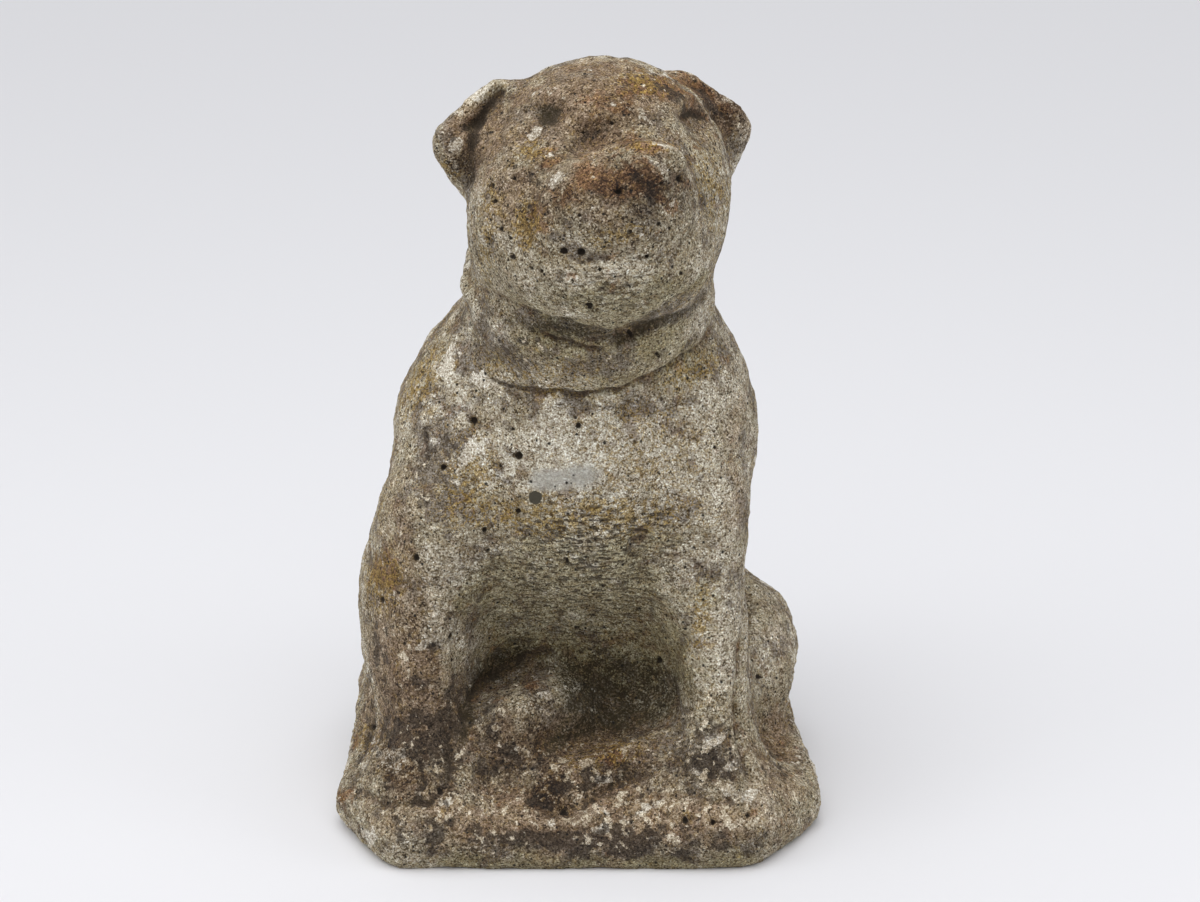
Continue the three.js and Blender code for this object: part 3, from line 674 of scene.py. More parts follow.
# Patches of wear and growth, and of painted shade and painted light, placed where the photograph has them.
# Each is an oval like the mounds, in its pixels, and the last number is its strength, where a minus keeps
# the growth away.
patches = {
    "pale": {
        "chest": (590, 455, 95, 62, 0, 1.3),
        "chestRight": (715, 440, 45, 100, 0, 0.8),
        "shoulderLeft": (462, 400, 42, 70, 20, 0.8),
        "legRight": (716, 620, 26, 80, 0, 0.9),
        "legLeft": (425, 610, 30, 60, 0, 0.35),
        "chin": (615, 290, 90, 38, 0, 0.55),
        "cheekRight": (725, 220, 22, 60, 0, 0.45),
        # painted light: the belly under the chest, which lies in shade, is made paler
        "belly": (580, 582, 110, 46, 0, 1.6),
        "cheekLeft": (490, 215, 25, 60, 0, 0.3),
        "lip": (605, 805, 80, 14, -20, 0.3),
        "haunch": (778, 640, 26, 56, 0, 0.4),
        "nose": (630, 168, 66, 30, 8, -0.7),
        "crown": (600, 108, 100, 36, 0, -0.3),
    },
    "bleachedAndPaintedLight": {
        "chest": (590, 434, 84, 38, 0, 1.5),
        "chestMiddle": (560, 470, 60, 22, 0, 1.2),
        "shoulderLeft": (458, 390, 20, 40, 22, 1.0),
        "armLeft": (480, 444, 22, 16, 0, 1.0),
        "chestRight": (700, 400, 30, 50, 0, 0.35),
        "legRight": (722, 610, 14, 66, 0, 0.6),
        "kneeLeft": (446, 580, 20, 40, 0, 0.6),
        "elbowLeft": (462, 640, 16, 40, 0, 0.5),
        "chin": (650, 300, 50, 24, 0, 0.5),
        "cheekRight": (722, 230, 14, 50, 0, 0.7),
        "cheekLeft": (484, 200, 10, 30, 0, 0.8),
        "earTop": (476, 96, 26, 7, -40, 0.4),
        # painted light on the shaded belly
        "belly": (575, 565, 100, 34, 0, 0.6),
        "bellyMiddle": (586, 616, 30, 9, 0, 0.9),
        "plinthTop": (492, 808, 52, 12, 6, 0.6),
        "plinthLip": (604, 806, 66, 8, -24, 0.55),
        "haunch": (778, 640, 24, 50, 0, 0.5),
    },
    "green": {
        "plinthFoot": (590, 864, 240, 10, 0, 1.0),
        "chin": (620, 300, 85, 34, 0, 0.9),
        "underChin": (605, 342, 90, 18, 0, 0.8),
        "belly": (580, 590, 120, 60, 0, 1.0),
        "recess": (600, 650, 110, 50, 0, 0.9),
        "collar": (650, 370, 70, 22, -15, 0.4),
    },
    "rust": {
        "forehead": (606, 103, 30, 18, 0, 0.9),
        "browRight": (690, 88, 38, 16, 25, 1.4),
        "crownRight": (648, 86, 30, 14, 10, 1.3),
        "nose": (634, 182, 54, 26, 8, 1.5),
        "noseTop": (650, 149, 30, 8, 8, 1.6),
        "muzzle": (580, 185, 34, 22, -20, 0.8),
        "jawLeft": (540, 215, 28, 26, 0, 0.9),
        "cheekTop": (543, 160, 22, 14, 0, 0.8),
        "corner": (352, 735, 12, 20, 0, 1.0),
        "cornerLow": (345, 798, 10, 14, 0, 0.9),
        "slantFoot": (532, 690, 9, 13, 0, 1.2),
        "flatFoot": (614, 756, 24, 9, -14, 1.4),
        "socketRight": (698, 114, 16, 6, 12, 1.2),
        "sideLeft": (384, 575, 16, 34, 0, 1.3),
    },
    "sootAndShade": {
        # painted shade in the eye sockets, the stop, the ear seams and flaps, and the creases under the jaw
        # and the collar; the other patches are soot stains
        "socketLeft": (549, 114, 18, 13, -20, 1.4),
        "underSocket": (552, 132, 16, 9, -20, 0.6),
        "stop": (602, 128, 28, 10, -20, 0.6),
        "socketRight": (700, 118, 24, 12, 15, 0.9),
        "earLeft": (484, 112, 10, 32, 40, 1.2),
        "earSeamLeft": (470, 160, 8, 34, 8, 1.0),
        "earRight": (720, 100, 16, 44, -38, 0.9),
        "neckCreaseShade": (560, 328, 58, 8, 10, 0.8),
        "neckCreaseShadeRight": (655, 322, 52, 9, -28, 0.9),
        "crown": (590, 85, 90, 22, 0, 0.5),
        "mouth": (640, 215, 60, 26, 0, 0.35),
        "strapLeft": (500, 345, 46, 28, 15, 0.6),
        "strap": (600, 366, 66, 20, 0, 0.5),
        "chestTop": (620, 408, 90, 14, 0, 0.55),
        "armLeft": (440, 440, 26, 22, 0, 1.0),
        "armLow": (436, 490, 30, 40, 0, 0.6),
        "neckSide": (472, 360, 18, 16, 0, 0.9),
        "legLeft": (430, 700, 50, 60, 0, 0.8),
        "feet": (560, 740, 110, 60, 0, 0.8),
        "footRight": (712, 765, 34, 30, 0, 0.9),
        "plinthFront": (590, 842, 220, 24, 0, 0.8),
        "chest": (590, 450, 84, 40, 0, -0.6),
        "belly": (580, 575, 90, 40, 0, -0.4),
        "earFlapLeft": (454, 148, 20, 34, 20, 0.9),
        "earFlapRight": (740, 140, 14, 36, -14, 0.9),
    },
    "lichen": {
        "byEye": (536, 133, 7, 10, 24, 1.7),
        "earTip": (454, 143, 6, 9, 0, 1.3),
        "mouthSpot": (639.5, 236, 5, 5, 0, 1.4),
        "nosePad": (664, 168, 7, 5, 30, 0.8),
        "earRim": (466, 104, 30, 7, -40, 0.35),
        "shoulder": (448, 366, 16, 26, 20, 0.9),
        "collarFoot": (482, 382, 15, 9, 0, 1.1),
        "jawEdge": (474, 268, 5, 14, -30, 0.9),
        "underNose": (555, 183, 13, 7, -35, 1.0),
        "streak": (467, 456, 8, 16, 10, 1.2),
        "streakLow": (457, 479, 5, 9, 0, 1.2),
        "armSpot": (430, 447, 5, 8, 0, 1.2),
        "chestLeft": (486, 440, 18, 14, 0, 0.7),
        "footLeft": (395, 762, 15, 13, 0, 1.7),
        "footLeftSmall": (376, 742, 6, 5, 0, 1.3),
        "footRight": (714, 742, 7, 9, 20, 1.2),
        "footRightLow": (729, 768, 9, 6, 0, 1.2),
        "legLeft": (378, 620, 5, 8, 0, 1.3),
        "legLeftLow": (420, 646, 4, 5, 0, 1.2),
        "cornerLeft": (368, 835, 12, 8, 0, 1.2),
        "rim": (650, 805, 16, 7, -10, 1.0),
        "rimRight": (745, 795, 30, 8, 10, 1.0),
        "footRidge": (600, 778, 14, 7, 0, 1.0),
        "onFoot": (513, 750, 7, 4, -20, 1.2),
        "lipFront": (600, 828, 12, 6, 0, 1.0),
    },
    "yellow": {
        "jaw": (527, 226, 14, 22, 0, 1.7),
        "crownRight": (646, 84, 26, 12, 10, 1.0),
        "underEye": (532, 148, 16, 9, 0, 0.9),
        "noseTop": (650, 148, 26, 5, 8, 0.8),
        "earLobe": (446, 168, 14, 9, 20, 1.0),
        "jawSide": (489, 230, 10, 60, 4, 0.6),
        "cheekRight": (712, 190, 16, 50, -8, 0.6),
        "neckRight": (690, 372, 40, 14, -30, 0.6),
        "mouth": (620, 235, 26, 10, -15, 0.8),
        "strapFoot": (552, 394, 10, 6, 0, 1.0),
        "chest": (590, 515, 110, 20, 0, 0.9),
        "chestHigh": (640, 450, 70, 50, 0, 0.35),
        "leg": (700, 620, 10, 40, 8, 0.8),
        "side": (382, 582, 22, 28, 0, 1.4),
        "sideHigh": (372, 500, 14, 40, 10, 0.8),
        "shoulder": (420, 380, 16, 50, 30, 0.8),
        "armEdge": (470, 480, 24, 50, 10, 0.6),
        "strap": (540, 375, 70, 16, 10, 0.35),
        "paw": (372, 740, 16, 20, 0, 0.8),
        "flatFoot": (606, 756, 44, 14, -12, 0.9),
    },
    "golden": {
        "chest": (610, 470, 110, 66, 0, 0.8),
        "shoulderLeft": (436, 405, 48, 70, 20, 1.1),
        "legLeft": (400, 620, 48, 110, 0, 1.0),
        "pawLeft": (395, 750, 50, 40, 0, 0.9),
        "cheekLeft": (502, 205, 40, 66, 0, 1.1),
        "muzzle": (610, 225, 60, 30, 0, 0.8),
        "strap": (540, 358, 100, 30, 6, 0.6),
        "legRight": (710, 650, 30, 100, 0, 0.9),
        "feet": (585, 755, 90, 20, -10, 1.0),
        "plinth": (590, 830, 240, 30, 0, 0.6),
        "forehead": (620, 96, 80, 26, 0, 0.8),
    },
    "dusty": {
        "crown": (605, 84, 110, 34, 0, 1.0),
        "brow": (600, 125, 110, 36, 0, 1.0),
        "muzzle": (600, 195, 100, 46, 0, 0.8),
        "cheekLeft": (500, 190, 36, 60, 0, 0.6),
        "earLeft": (466, 130, 34, 44, 40, 1.1),
        "earRight": (722, 110, 34, 50, -38, 0.9),
        "sideLeft": (395, 560, 40, 160, 6, 0.7),
        "legLeft": (410, 710, 60, 90, 0, 1.2),
        "feet": (560, 750, 110, 46, 0, 1.0),
        "chestRight": (734, 470, 16, 90, 0, 0.7),
        "plinth": (590, 820, 240, 40, 0, 1.3),
        "baseRight": (775, 745, 40, 60, 0, 0.8),
        "haunch": (775, 640, 36, 70, 0, 0.3),
    },
    # grime and painted shade together: a darker film over the head and ears, with painted shade in the
    # recess floor and beneath the feet
    "grimeAndShade": {
        "crown": (605, 85, 110, 40, 0, 0.1),
        "forehead": (600, 118, 90, 34, 0, 0.55),
        "nose": (640, 180, 42, 24, 5, 0.8),
        "muzzle": (620, 205, 90, 44, 0, 1.0),
        "cheekLeft": (515, 200, 50, 90, 0, 0.55),
        "underFoot": (552, 795, 24, 18, -20, 1.0),
        "feet": (560, 760, 120, 34, 0, 0.8),
        "slantFoot": (520, 712, 44, 32, -32, 1.0),
        "recessFloor": (610, 728, 60, 16, 0, 0.9),
        "earRight": (728, 116, 26, 54, -32, 1.2),
        "earLeft": (458, 158, 20, 36, 0, 1.2),
        "pawLeft": (400, 770, 50, 40, 0, 0.8),
        "legLeft": (415, 660, 60, 120, 0, 0.75),
        "pawRight": (715, 760, 40, 40, 0, 0.6),
        "front": (590, 845, 240, 30, 0, 0.6),
        "top": (560, 795, 200, 36, 0, 0.3),
    },
    # mostly painted shade: dark in the recess between the legs, under the feet, in the creases under the
    # jaw, in the eye sockets and the ear seam, with some real black moss
    "dampAndShade": {
        "recess": (600, 676, 100, 40, 0, 0.85),
        "recessFloor": (616, 698, 64, 30, 0, 0.75),
        "recessCorner": (660, 700, 18, 30, 0, 0.3),
        "floorMiddle": (596, 728, 60, 20, -12, 0.55),
        "pocket": (500, 662, 40, 14, -40, 0.9),
        "slantFoot": (524, 706, 38, 26, -36, -1.1),
        "footUnder": (566, 735, 40, 10, -42, 0.8),
        "besideFoot": (468, 716, 7, 34, 12, 1.0),
        "ridgeFoot": (606, 786, 60, 6, -28, 0.5),
        "pawFoot": (410, 800, 40, 9, 0, 0.35),
        "pawSide": (452, 764, 10, 34, 0, 0.4),
        "pawRightFoot": (716, 798, 34, 8, 0, 0.35),
        "neck": (560, 330, 64, 8, 10, 0.9),
        "neckRight": (658, 323, 56, 8, -28, 0.95),
        "socketLeft": (549, 115, 13, 13, 0, 1.0),
        "stop": (604, 126, 22, 7, -24, 0.45),
        "socketRight": (697, 117, 22, 5, 10, 0.85),
        "noseSide": (648, 186, 34, 14, 6, 0.35),
        "earLeft": (482, 112, 6, 30, 40, 0.6),
        "earSeamLeft": (469, 160, 5, 34, 6, 0.5),
    },
    "mossyAndShade": {
        # black moss, with painted shade in the eye socket, the stop, beside the leg, between the feet and
        # beneath them
        "front": (590, 845, 250, 16, 0, 1.3),
        "frontLeft": (420, 815, 60, 24, 10, 0.9),
        "frontMiddle": (620, 828, 110, 18, -4, 0.9),
        "pawLeft": (395, 740, 44, 40, 0, 1.3),
        "pawLeftInner": (436, 768, 22, 36, 0, 1.3),
        "besideLeg": (452, 724, 16, 26, 0, 1.1),
        "legLeft": (436, 690, 34, 70, 0, 0.9),
        "slantFoot": (500, 722, 38, 30, -32, 1.2),
        "between": (500, 762, 60, 16, 6, 1.1),
        "flatFoot": (590, 777, 70, 12, -20, 1.4),
        "underFoot": (552, 794, 24, 16, -20, 0.8),
        "legSide": (378, 660, 20, 60, 0, 1.0),
        "socketLeft": (549, 116, 15, 14, 0, 1.3),
        "pawRight": (705, 756, 30, 40, 0, 1.5),
        "baseRight": (770, 770, 44, 40, 0, 0.5),
        "haunch": (772, 640, 34, 60, 0, 0.2),
        "arm": (436, 446, 26, 26, 0, 0.9),
        "armLow": (432, 500, 30, 50, 0, 0.6),
        "strap": (510, 340, 60, 26, 15, 0.8),
        "strapRight": (620, 362, 60, 18, -10, 0.5),
        "nose": (642, 184, 44, 20, 5, 1.1),
        "earLeft": (468, 130, 22, 36, 30, 1.4),
        "earRight": (706, 92, 26, 14, 48, 0.9),
        "browRight": (690, 106, 26, 12, 10, 1.3),
        "crownRight": (664, 92, 20, 10, 20, 1.2),
        "stop": (594, 130, 22, 9, -18, 0.9),
        "crown": (570, 84, 50, 16, 0, 0.35),
        "cheek": (530, 175, 22, 24, 0, 0.7),
    },
    "speckled": {
        "base": (590, 820, 260, 60, 0, 1.0),
        "legLeft": (400, 680, 70, 120, 0, 0.8),
        "legRight": (720, 730, 50, 80, 0, 0.9),
        "feet": (560, 750, 120, 50, 0, 0.9),
        "haunch": (775, 650, 50, 90, 0, 0.55),
        "face": (610, 205, 130, 70, 0, 0.45),
        "collar": (540, 350, 110, 50, 0, 0.6),
        "sideLeft": (410, 500, 50, 140, 0, 0.6),
    },
    "ripple": {
        "belly": (575, 585, 120, 66, 0, 1.0),
        "chest": (610, 520, 100, 36, 0, 0.6),
        "chin": (610, 290, 80, 34, 0, 0.7),
    },
    "smooth": {
        "trowelledLeft": (546, 480, 20, 15, 8, 1.0),
        "trowelledRight": (581, 477, 22, 13, -10, 1.0),
    },
    "disc": {
        "disc": (535.2, 498, 7.6, 7.6, 0, 1.4),
    },
}

# What the camera doesn't see is evenly painted with these strengths.
unseenPatches = {"pale": 0.8, "grimeAndShade": 0.05, "sootAndShade": 0.2, "green": 0.25, "speckled": 0.4, "mossyAndShade": 0.3,
                 "dusty": 0.35, "golden": 0.2, "bleachedAndPaintedLight": 0.3, "lichen": 0.25, "yellow": 0.25,
                 "rust": 0.1, "dampAndShade": -0.3}


paintingSettings = {
    "stray": 1.6,  # times the wander of the carving, so that the patches have loose outlines
    "discStray": 0.2,
    "lowParts": (20, 130),  # mm up, between which the stone passes from rough to smoother
    "rough": (0.6, 0.9),  # of the grit: its share high up, and what low down adds to it
    "holey": (0.45, 0.25),  # of the scattered holes, likewise
    "lifting": (0.2, 3.0),  # mm up, between which the weathering sets in
}


def paintPatches(piece, onFront):
    mesh = piece.data
    for name, spots in patches.items():
        stray = paintingSettings["discStray" if name == "disc" else "stray"]
        painted = moundHeights(truePlaces + shifts[:, :2] * stray, spots)
        storeValue(mesh, name, painted * onFront + unseenPatches.get(name, 0) * (1 - onFront))
    height = readPoints(mesh)[:, 2] / millimetre
    low = 1 - ramp(height, *paintingSettings["lowParts"])
    storeValue(mesh, "pit", np.where(onFront > 0.5, holeField(holePlaces, frontHoles), -1.0))
    for name in ("rough", "holey"):
        least, more = paintingSettings[name]
        storeValue(mesh, name, least + more * low)
    # the underside stays flat and nothing lifts it
    storeValue(mesh, "free", ramp(height, *paintingSettings["lifting"]))


hollowSettings = {
    "crevice": 5,  # rounds of smoothing that a fine crease stands out from
    "hollow": 60,  # and a broad hollow
    "skyward": 40,  # rounds that even out which way the surface faces
}


def measureHollows(piece):
    mesh = piece.data
    around = Neighbours(mesh)
    points = readPoints(mesh)
    normals = readNormals(mesh)
    for name in ("crevice", "hollow"):
        level = around.spread(points, hollowSettings[name])
        storeValue(mesh, name, ((level - points) * normals).sum(1) / millimetre)
    storeValue(mesh, "skyward", around.spread(normals[:, 2], hollowSettings["skyward"])[:, 0])


def thin(piece, onFront):
    # first what the camera doesn't see, then the whole
    unseen = piece.vertex_groups.new(name="unseen")
    hidden = np.flatnonzero(onFront < skinSettings["unseenBelow"])
    unseen.add(hidden.tolist(), 1.0, "ADD")
    allowed = skinSettings["finishedTriangles"]
    triangles = 2 * len(onFront)  # of a closed skin, for its points
    left = triangles - 2 * len(hidden) + allowed * skinSettings["unseenShare"]
    for group, ratio in (("unseen", left / triangles), ("", allowed / left)):
        fewer = piece.modifiers.new("fewer", "DECIMATE")
        fewer.ratio = min(1.0, ratio)
        fewer.vertex_group = group
        fewer.vertex_group_factor = 0.0
        bakeModifiers(piece)
    piece.vertex_groups.clear()


def keepInside(piece, box):
    mesh = piece.data
    points = readPoints(mesh)
    points[points[:, 2] < skinSettings["groundBand"] * millimetre, 2] = 0
    writePoints(mesh, np.clip(points, np.array(box[0]), np.array(box[1])))
    mesh.shade_smooth()


def linear(code):
    parts = [int(code[i:i + 2], 16) / 255 for i in (1, 3, 5)]
    return tuple(c / 12.92 if c <= 0.04045 else ((c + 0.055) / 1.055) ** 2.4 for c in parts) + (1.0,)


# Reconstituted stone: crushed stone and sand in cement, cast in a mould. Its skin has weathered open, so
# it gives the eye a salt and pepper of pale, brown and black grains about 1 mm across, under soot, rust
# and ochre stains, green algae low down and in the shade, and crusts of white and yellow lichen.
stoneSettings = {
    "roughness": 0.93,
    "grain": 0.85,  # mm, of the sand
    "grainShake": 0.7,  # mm, the size of the noise that roughens the grains' edges
    "grainStray": 0.6,  # mm that it moves them
    "coarseGrain": 1.9,  # mm, of the crushed stone among it
    "coarseShare": 0.18,  # of the grain's tone
    "grainRelief": 0.45,  # mm
    "finePores": 4.6,  # mm apart
    "poreRadius": 0.6,  # mm
    "poreDepth": 0.8,  # mm
    "cement": "#a39880",
    "tones": {0.0: 0.08, 0.15: 0.26, 0.30: 0.80, 0.52: 1.05, 0.76: 1.32, 1.0: 1.95},
    "fineGrain": 0.8,  # mm
    "fineRelief": 0.25,  # mm
    "fineSpread": 1.45,  # how strongly the finest grains differ
    "mottleSize": 9.0,  # mm, of the widest mottles, each finer one half as wide
    "mottleSpread": 0.95,
    "tearSize": 5.0,  # mm
    "tearLength": 3.4,  # times as long as tall
    "tearDepth": 0.9,  # mm
    "warmGrain": "#a8844f",
    "warmChance": 0.1,  # of a grain being a warm one
    "warmShare": 0.2,  # how strongly it is
    # a brown film of grime, used also as painted shade
    "grimeAndShade": "#806d52",
    "grimeAndShadeSize": 21.0,  # mm, of the drifts of grime
    # black moss, used also as painted shade in the recesses, creases and eye sockets
    "mossAndShade": "#30270f",
    "mossAndShadeSize": 7.0,  # mm
    "holeShade": "#15110c",
    "holeEdge": 1.6,  # mm, of the ragged rims of the larger holes
    # painted shade: the dark of the fine creases and of the torn dashes
    "crevice": "#3a3024",
    "trowelled": "#b1afa7",
    "trowelledEdge": 5.0,  # mm, of its ragged outline
    "disc": "#4a4538",
}

# Each growth or stain covers what its pattern, its painted patches, the hollows and the sky let it. The
# span of a pattern is in mm, cover and edge say how much of it shows and how softly it ends, and flat says
# how far it hides the tones of the sand.
growths = {
    "paleCementAndPaintedLight": {"colour": "#c1b7a2", "span": 24, "detail": 4, "cover": 0.40, "edge": 0.07,
                   "paint": ("pale", 0.34), "hollow": -0.05, "sky": -0.06, "amount": 0.80, "flat": 0.0},
    "algae": {"colour": "#867b55", "span": 30, "detail": 4, "cover": 0.36, "edge": 0.14,
              "paint": ("green", 0.34), "hollow": 0.05, "sky": -0.16, "amount": 0.65, "flat": 0.1},
    "bleachedAndPaintedLight": {"colour": "#cdc5b2", "span": 12, "detail": 5, "cover": 0.25, "edge": 0.10,
                 "paint": ("bleachedAndPaintedLight", 0.28), "hollow": -0.05, "sky": 0.0, "amount": 0.8, "flat": 0.3},
    "sootAndShade": {"colour": "#5c5148", "span": 15, "detail": 5, "cover": 0.43, "edge": 0.06,
             "paint": ("sootAndShade", 0.22), "hollow": 0.05, "sky": 0.05, "amount": 0.70, "flat": 0.15},
    "brownDust": {"colour": "#9a7f63", "span": 20, "detail": 4, "cover": 0.20, "edge": 0.18,
                  "paint": ("dusty", 0.42), "hollow": 0.0, "sky": 0.0, "amount": 0.6, "flat": 0.0},
    "brownStain": {"colour": "#6b523a", "span": 9, "detail": 5, "cover": 0.40, "edge": 0.08,
                   "paint": ("rust", 0.16), "hollow": 0.08, "sky": 0.04, "amount": 0.60, "flat": 0.0},
    "rust": {"colour": "#805833", "span": 8, "detail": 5, "cover": 0.335, "edge": 0.07,
             "paint": ("rust", 0.20), "hollow": 0.02, "sky": 0.02, "amount": 0.65, "flat": 0.1},
    "ochreNet": {"colour": "#967933", "span": 5, "detail": 5, "cover": 0.05, "edge": 0.09, "net": 3.0,
                 "paint": ("yellow", 0.34), "hollow": 0.01, "sky": 0.0, "amount": 0.70, "flat": 0.1},
    "goldSpecks": {"colour": "#92763a", "span": 6, "detail": 4, "cover": 0.29, "edge": 0.05,
                   "paint": ("golden", 0.11), "hollow": 0.0, "sky": 0.0, "amount": 0.62, "flat": 0.1},
    "whiteLichen": {"colour": "#d6cdbb", "span": 10, "detail": 5, "cover": 0.305, "edge": 0.025,
                    "paint": ("lichen", 0.26), "hollow": -0.05, "sky": 0.04, "amount": 0.85,
                    "flat": 0.55},
    "blackMossAndShade": {"colour": "#40352a", "span": 9, "detail": 6, "cover": 0.30, "edge": 0.05,
                  "paint": ("mossyAndShade", 0.19), "hollow": 0.05, "sky": 0.0, "amount": 0.78, "flat": 0.2},
    "darkSpots": {"colour": "#3a3025", "span": 3.0, "detail": 3, "cover": 0.31, "edge": 0.04,
                  "paint": ("speckled", 0.08), "hollow": 0.04, "sky": 0.0, "amount": 0.75, "flat": 0.3},
    "creamSpots": {"colour": "#dccfb6", "span": 5.0, "detail": 4, "cover": 0.29, "edge": 0.025,
                   "paint": ("speckled", 0.09), "hollow": -0.04, "sky": 0.03, "amount": 0.88,
                   "flat": 0.8},
}


def stoneMaterial():
    settings = stoneSettings
    material = bpy.data.materials.new("weatheredReconstitutedStone")
    material.use_nodes = True
    tree = material.node_tree
    tree.nodes.clear()
    place = addNode(tree, "ShaderNodeTexCoord").outputs["Object"]

    def calc(operation, *values):
        return addNode(tree, "ShaderNodeMath", dict(enumerate(values)), operation=operation).outputs[0]

    def painted(name):
        return addNode(tree, "ShaderNodeAttribute", attribute_name=name).outputs["Fac"]

    def smoothStep(value, low, high):
        return addNode(tree, "ShaderNodeMapRange", {"Value": value, "From Min": low, "From Max": high},
                       interpolation_type="SMOOTHSTEP").outputs[0]

    def mixed(share, under, over, kind="MIX"):
        node = addNode(tree, "ShaderNodeMix", {"Factor": share, 6: under, 7: over},
                       data_type="RGBA", blend_type=kind)
        return node.outputs[2]

    def noiseField(span, detail, seedShift, roughness=0.62):
        moved = addNode(tree, "ShaderNodeVectorMath", {0: place, 1: (seedShift, seedShift * 0.7, 0.0)},
                        operation="ADD").outputs[0]
        return addNode(tree, "ShaderNodeTexNoise",
                       {"Vector": moved, "Scale": 1 / (span * millimetre), "Detail": detail,
                        "Roughness": roughness}).outputs[0]

    def cells(span, vector):
        return addNode(tree, "ShaderNodeTexVoronoi",
                       {"Vector": vector, "Scale": 1 / (span * millimetre)}).outputs

    # sand grains: a random tone for each cell, their edges roughened
    jitter = addNode(tree, "ShaderNodeTexNoise",
                     {"Vector": place, "Scale": 1 / (settings["grainShake"] * millimetre),
                      "Detail": 1.0})
    shaken = addNode(tree, "ShaderNodeVectorMath",
                     {0: jitter.outputs["Color"], 1: (settings["grainStray"] * millimetre,) * 3,
                      2: place},
                     operation="MULTIPLY_ADD").outputs[0]
    sand = cells(settings["grain"], shaken)
    crushed = cells(settings["coarseGrain"], shaken)
    coarse = settings["coarseShare"]
    sandChance = addNode(tree, "ShaderNodeSeparateColor", {0: sand["Color"]}).outputs
    crushedChance = addNode(tree, "ShaderNodeSeparateColor", {0: crushed["Color"]}).outputs
    level = calc("ADD", calc("MULTIPLY", sandChance[0], 1 - coarse),
                 calc("MULTIPLY", crushedChance[0], coarse))
    ramps = addNode(tree, "ShaderNodeValToRGB", {0: level})
    stops = sorted(settings["tones"].items())
    while len(ramps.color_ramp.elements) < len(stops):
        ramps.color_ramp.elements.new(0.5)
    for element, (at, tone) in zip(ramps.color_ramp.elements, stops):
        element.position = at
        element.color = (tone, tone, tone, 1.0)
    tone = ramps.outputs[0]
    filmHold = calc("SUBTRACT", 1.25, calc("MULTIPLY", level, 0.9))  # the dark grains hold more

    colour = addNode(tree, "ShaderNodeRGB")
    colour.outputs[0].default_value = linear(settings["cement"])
    colour = colour.outputs[0]
    warm = calc("GREATER_THAN", sandChance[1], 1 - settings["warmChance"])
    warm = calc("MULTIPLY", warm, settings["warmShare"])
    colour = mixed(warm, colour, linear(settings["warmGrain"]))
    flatness = 0.0
    hollow = painted("hollow")
    sky = painted("skyward")
    for i, growth in enumerate(growths.values()):
        field = noiseField(growth["span"], growth["detail"], 0.31 * (i + 1))
        if "net" in growth:
            # a net of threads, where the pattern passes its middle
            away = calc("ABSOLUTE", calc("SUBTRACT", field, 0.5))
            field = calc("SUBTRACT", 1.0, calc("MULTIPLY", away, 2 * growth["net"]))
        name, gain = growth["paint"]
        reach = calc("ADD", field, calc("MULTIPLY", painted(name), gain))
        reach = calc("ADD", reach, calc("MULTIPLY", hollow, growth["hollow"]))
        reach = calc("ADD", reach, calc("MULTIPLY", sky, growth["sky"]))
        edge = 1 - growth["cover"]
        share = smoothStep(reach, edge - growth["edge"], edge + growth["edge"])
        share = calc("MULTIPLY", share, growth["amount"])
        colour = mixed(share, colour, linear(growth["colour"]))
        if growth["flat"]:
            flatness = calc("MAXIMUM", flatness, calc("MULTIPLY", share, growth["flat"]))
    tone = calc("ADD", calc("MULTIPLY", tone, calc("SUBTRACT", 1.0, flatness)), flatness)
    finest = calc("SUBTRACT", noiseField(settings["fineGrain"], 1.0, 9.1), 0.5)
    finest = calc("ADD", 1.0, calc("MULTIPLY", finest, 2 * settings["fineSpread"]))
    tone = calc("MULTIPLY", tone, finest)
    mottle = calc("SUBTRACT", noiseField(settings["mottleSize"], 7.0, 4.3, 0.8), 0.5)
    mottle = calc("ADD", 1.0, calc("MULTIPLY", mottle, 2 * settings["mottleSpread"]))
    tone = calc("MULTIPLY", tone, mottle)
    # pale grains are greyer than dark ones
    tint = addNode(tree, "ShaderNodeCombineColor",
                   {0: calc("POWER", tone, 0.88), 1: tone, 2: calc("POWER", tone, 1.2)})
    colour = mixed(1.0, colour, tint.outputs[0], "MULTIPLY")
    # a film of grime and painted shade, thinnest on the pale grains, then black moss and painted shade in
    # the recesses, creases and eye sockets
    drifts = smoothStep(noiseField(settings["grimeAndShadeSize"], 3, 7.7), 0.2, 0.62)
    film = calc("MULTIPLY", painted("grimeAndShade"), drifts)
    film = calc("MULTIPLY", film, filmHold)
    colour = mixed(film, colour, linear(settings["grimeAndShade"]), "MULTIPLY")
    mossAndShade = calc("ADD", painted("dampAndShade"), calc("SUBTRACT", noiseField(settings["mossAndShadeSize"], 5, 6.1), 0.5))
    mossAndShade = calc("MULTIPLY", smoothStep(mossAndShade, 0.1, 1.0), filmHold)
    colour = mixed(mossAndShade, colour, linear(settings["mossAndShade"]))

    # short torn dashes where the mould pulled, their insides darkened with painted shade
    long = settings["tearLength"]
    drawn = addNode(tree, "ShaderNodeVectorMath", {0: place, 1: (1.0, 1.0, long)},
                    operation="MULTIPLY").outputs[0]
    tears = addNode(tree, "ShaderNodeTexNoise",
                    {"Vector": drawn, "Scale": 1 / (settings["tearSize"] * millimetre), "Detail": 3.0})
    tear = calc("MULTIPLY", smoothStep(tears.outputs[0], 0.555, 0.60), painted("ripple"))
    colour = mixed(calc("MULTIPLY", tear, 0.8), colour, linear(settings["crevice"]))

    # the trowelled patch and the flat disc on the chest
    outline = calc("SUBTRACT", noiseField(settings["trowelledEdge"], 4, 2.9), 0.5)
    trowelled = calc("ADD", painted("smooth"), outline)
    colour = mixed(calc("MULTIPLY", smoothStep(trowelled, 0.1, 0.9), 0.7), colour,
                   linear(settings["trowelled"]))
    colour = mixed(smoothStep(painted("disc"), 0.5, 0.62), colour, linear(settings["disc"]))
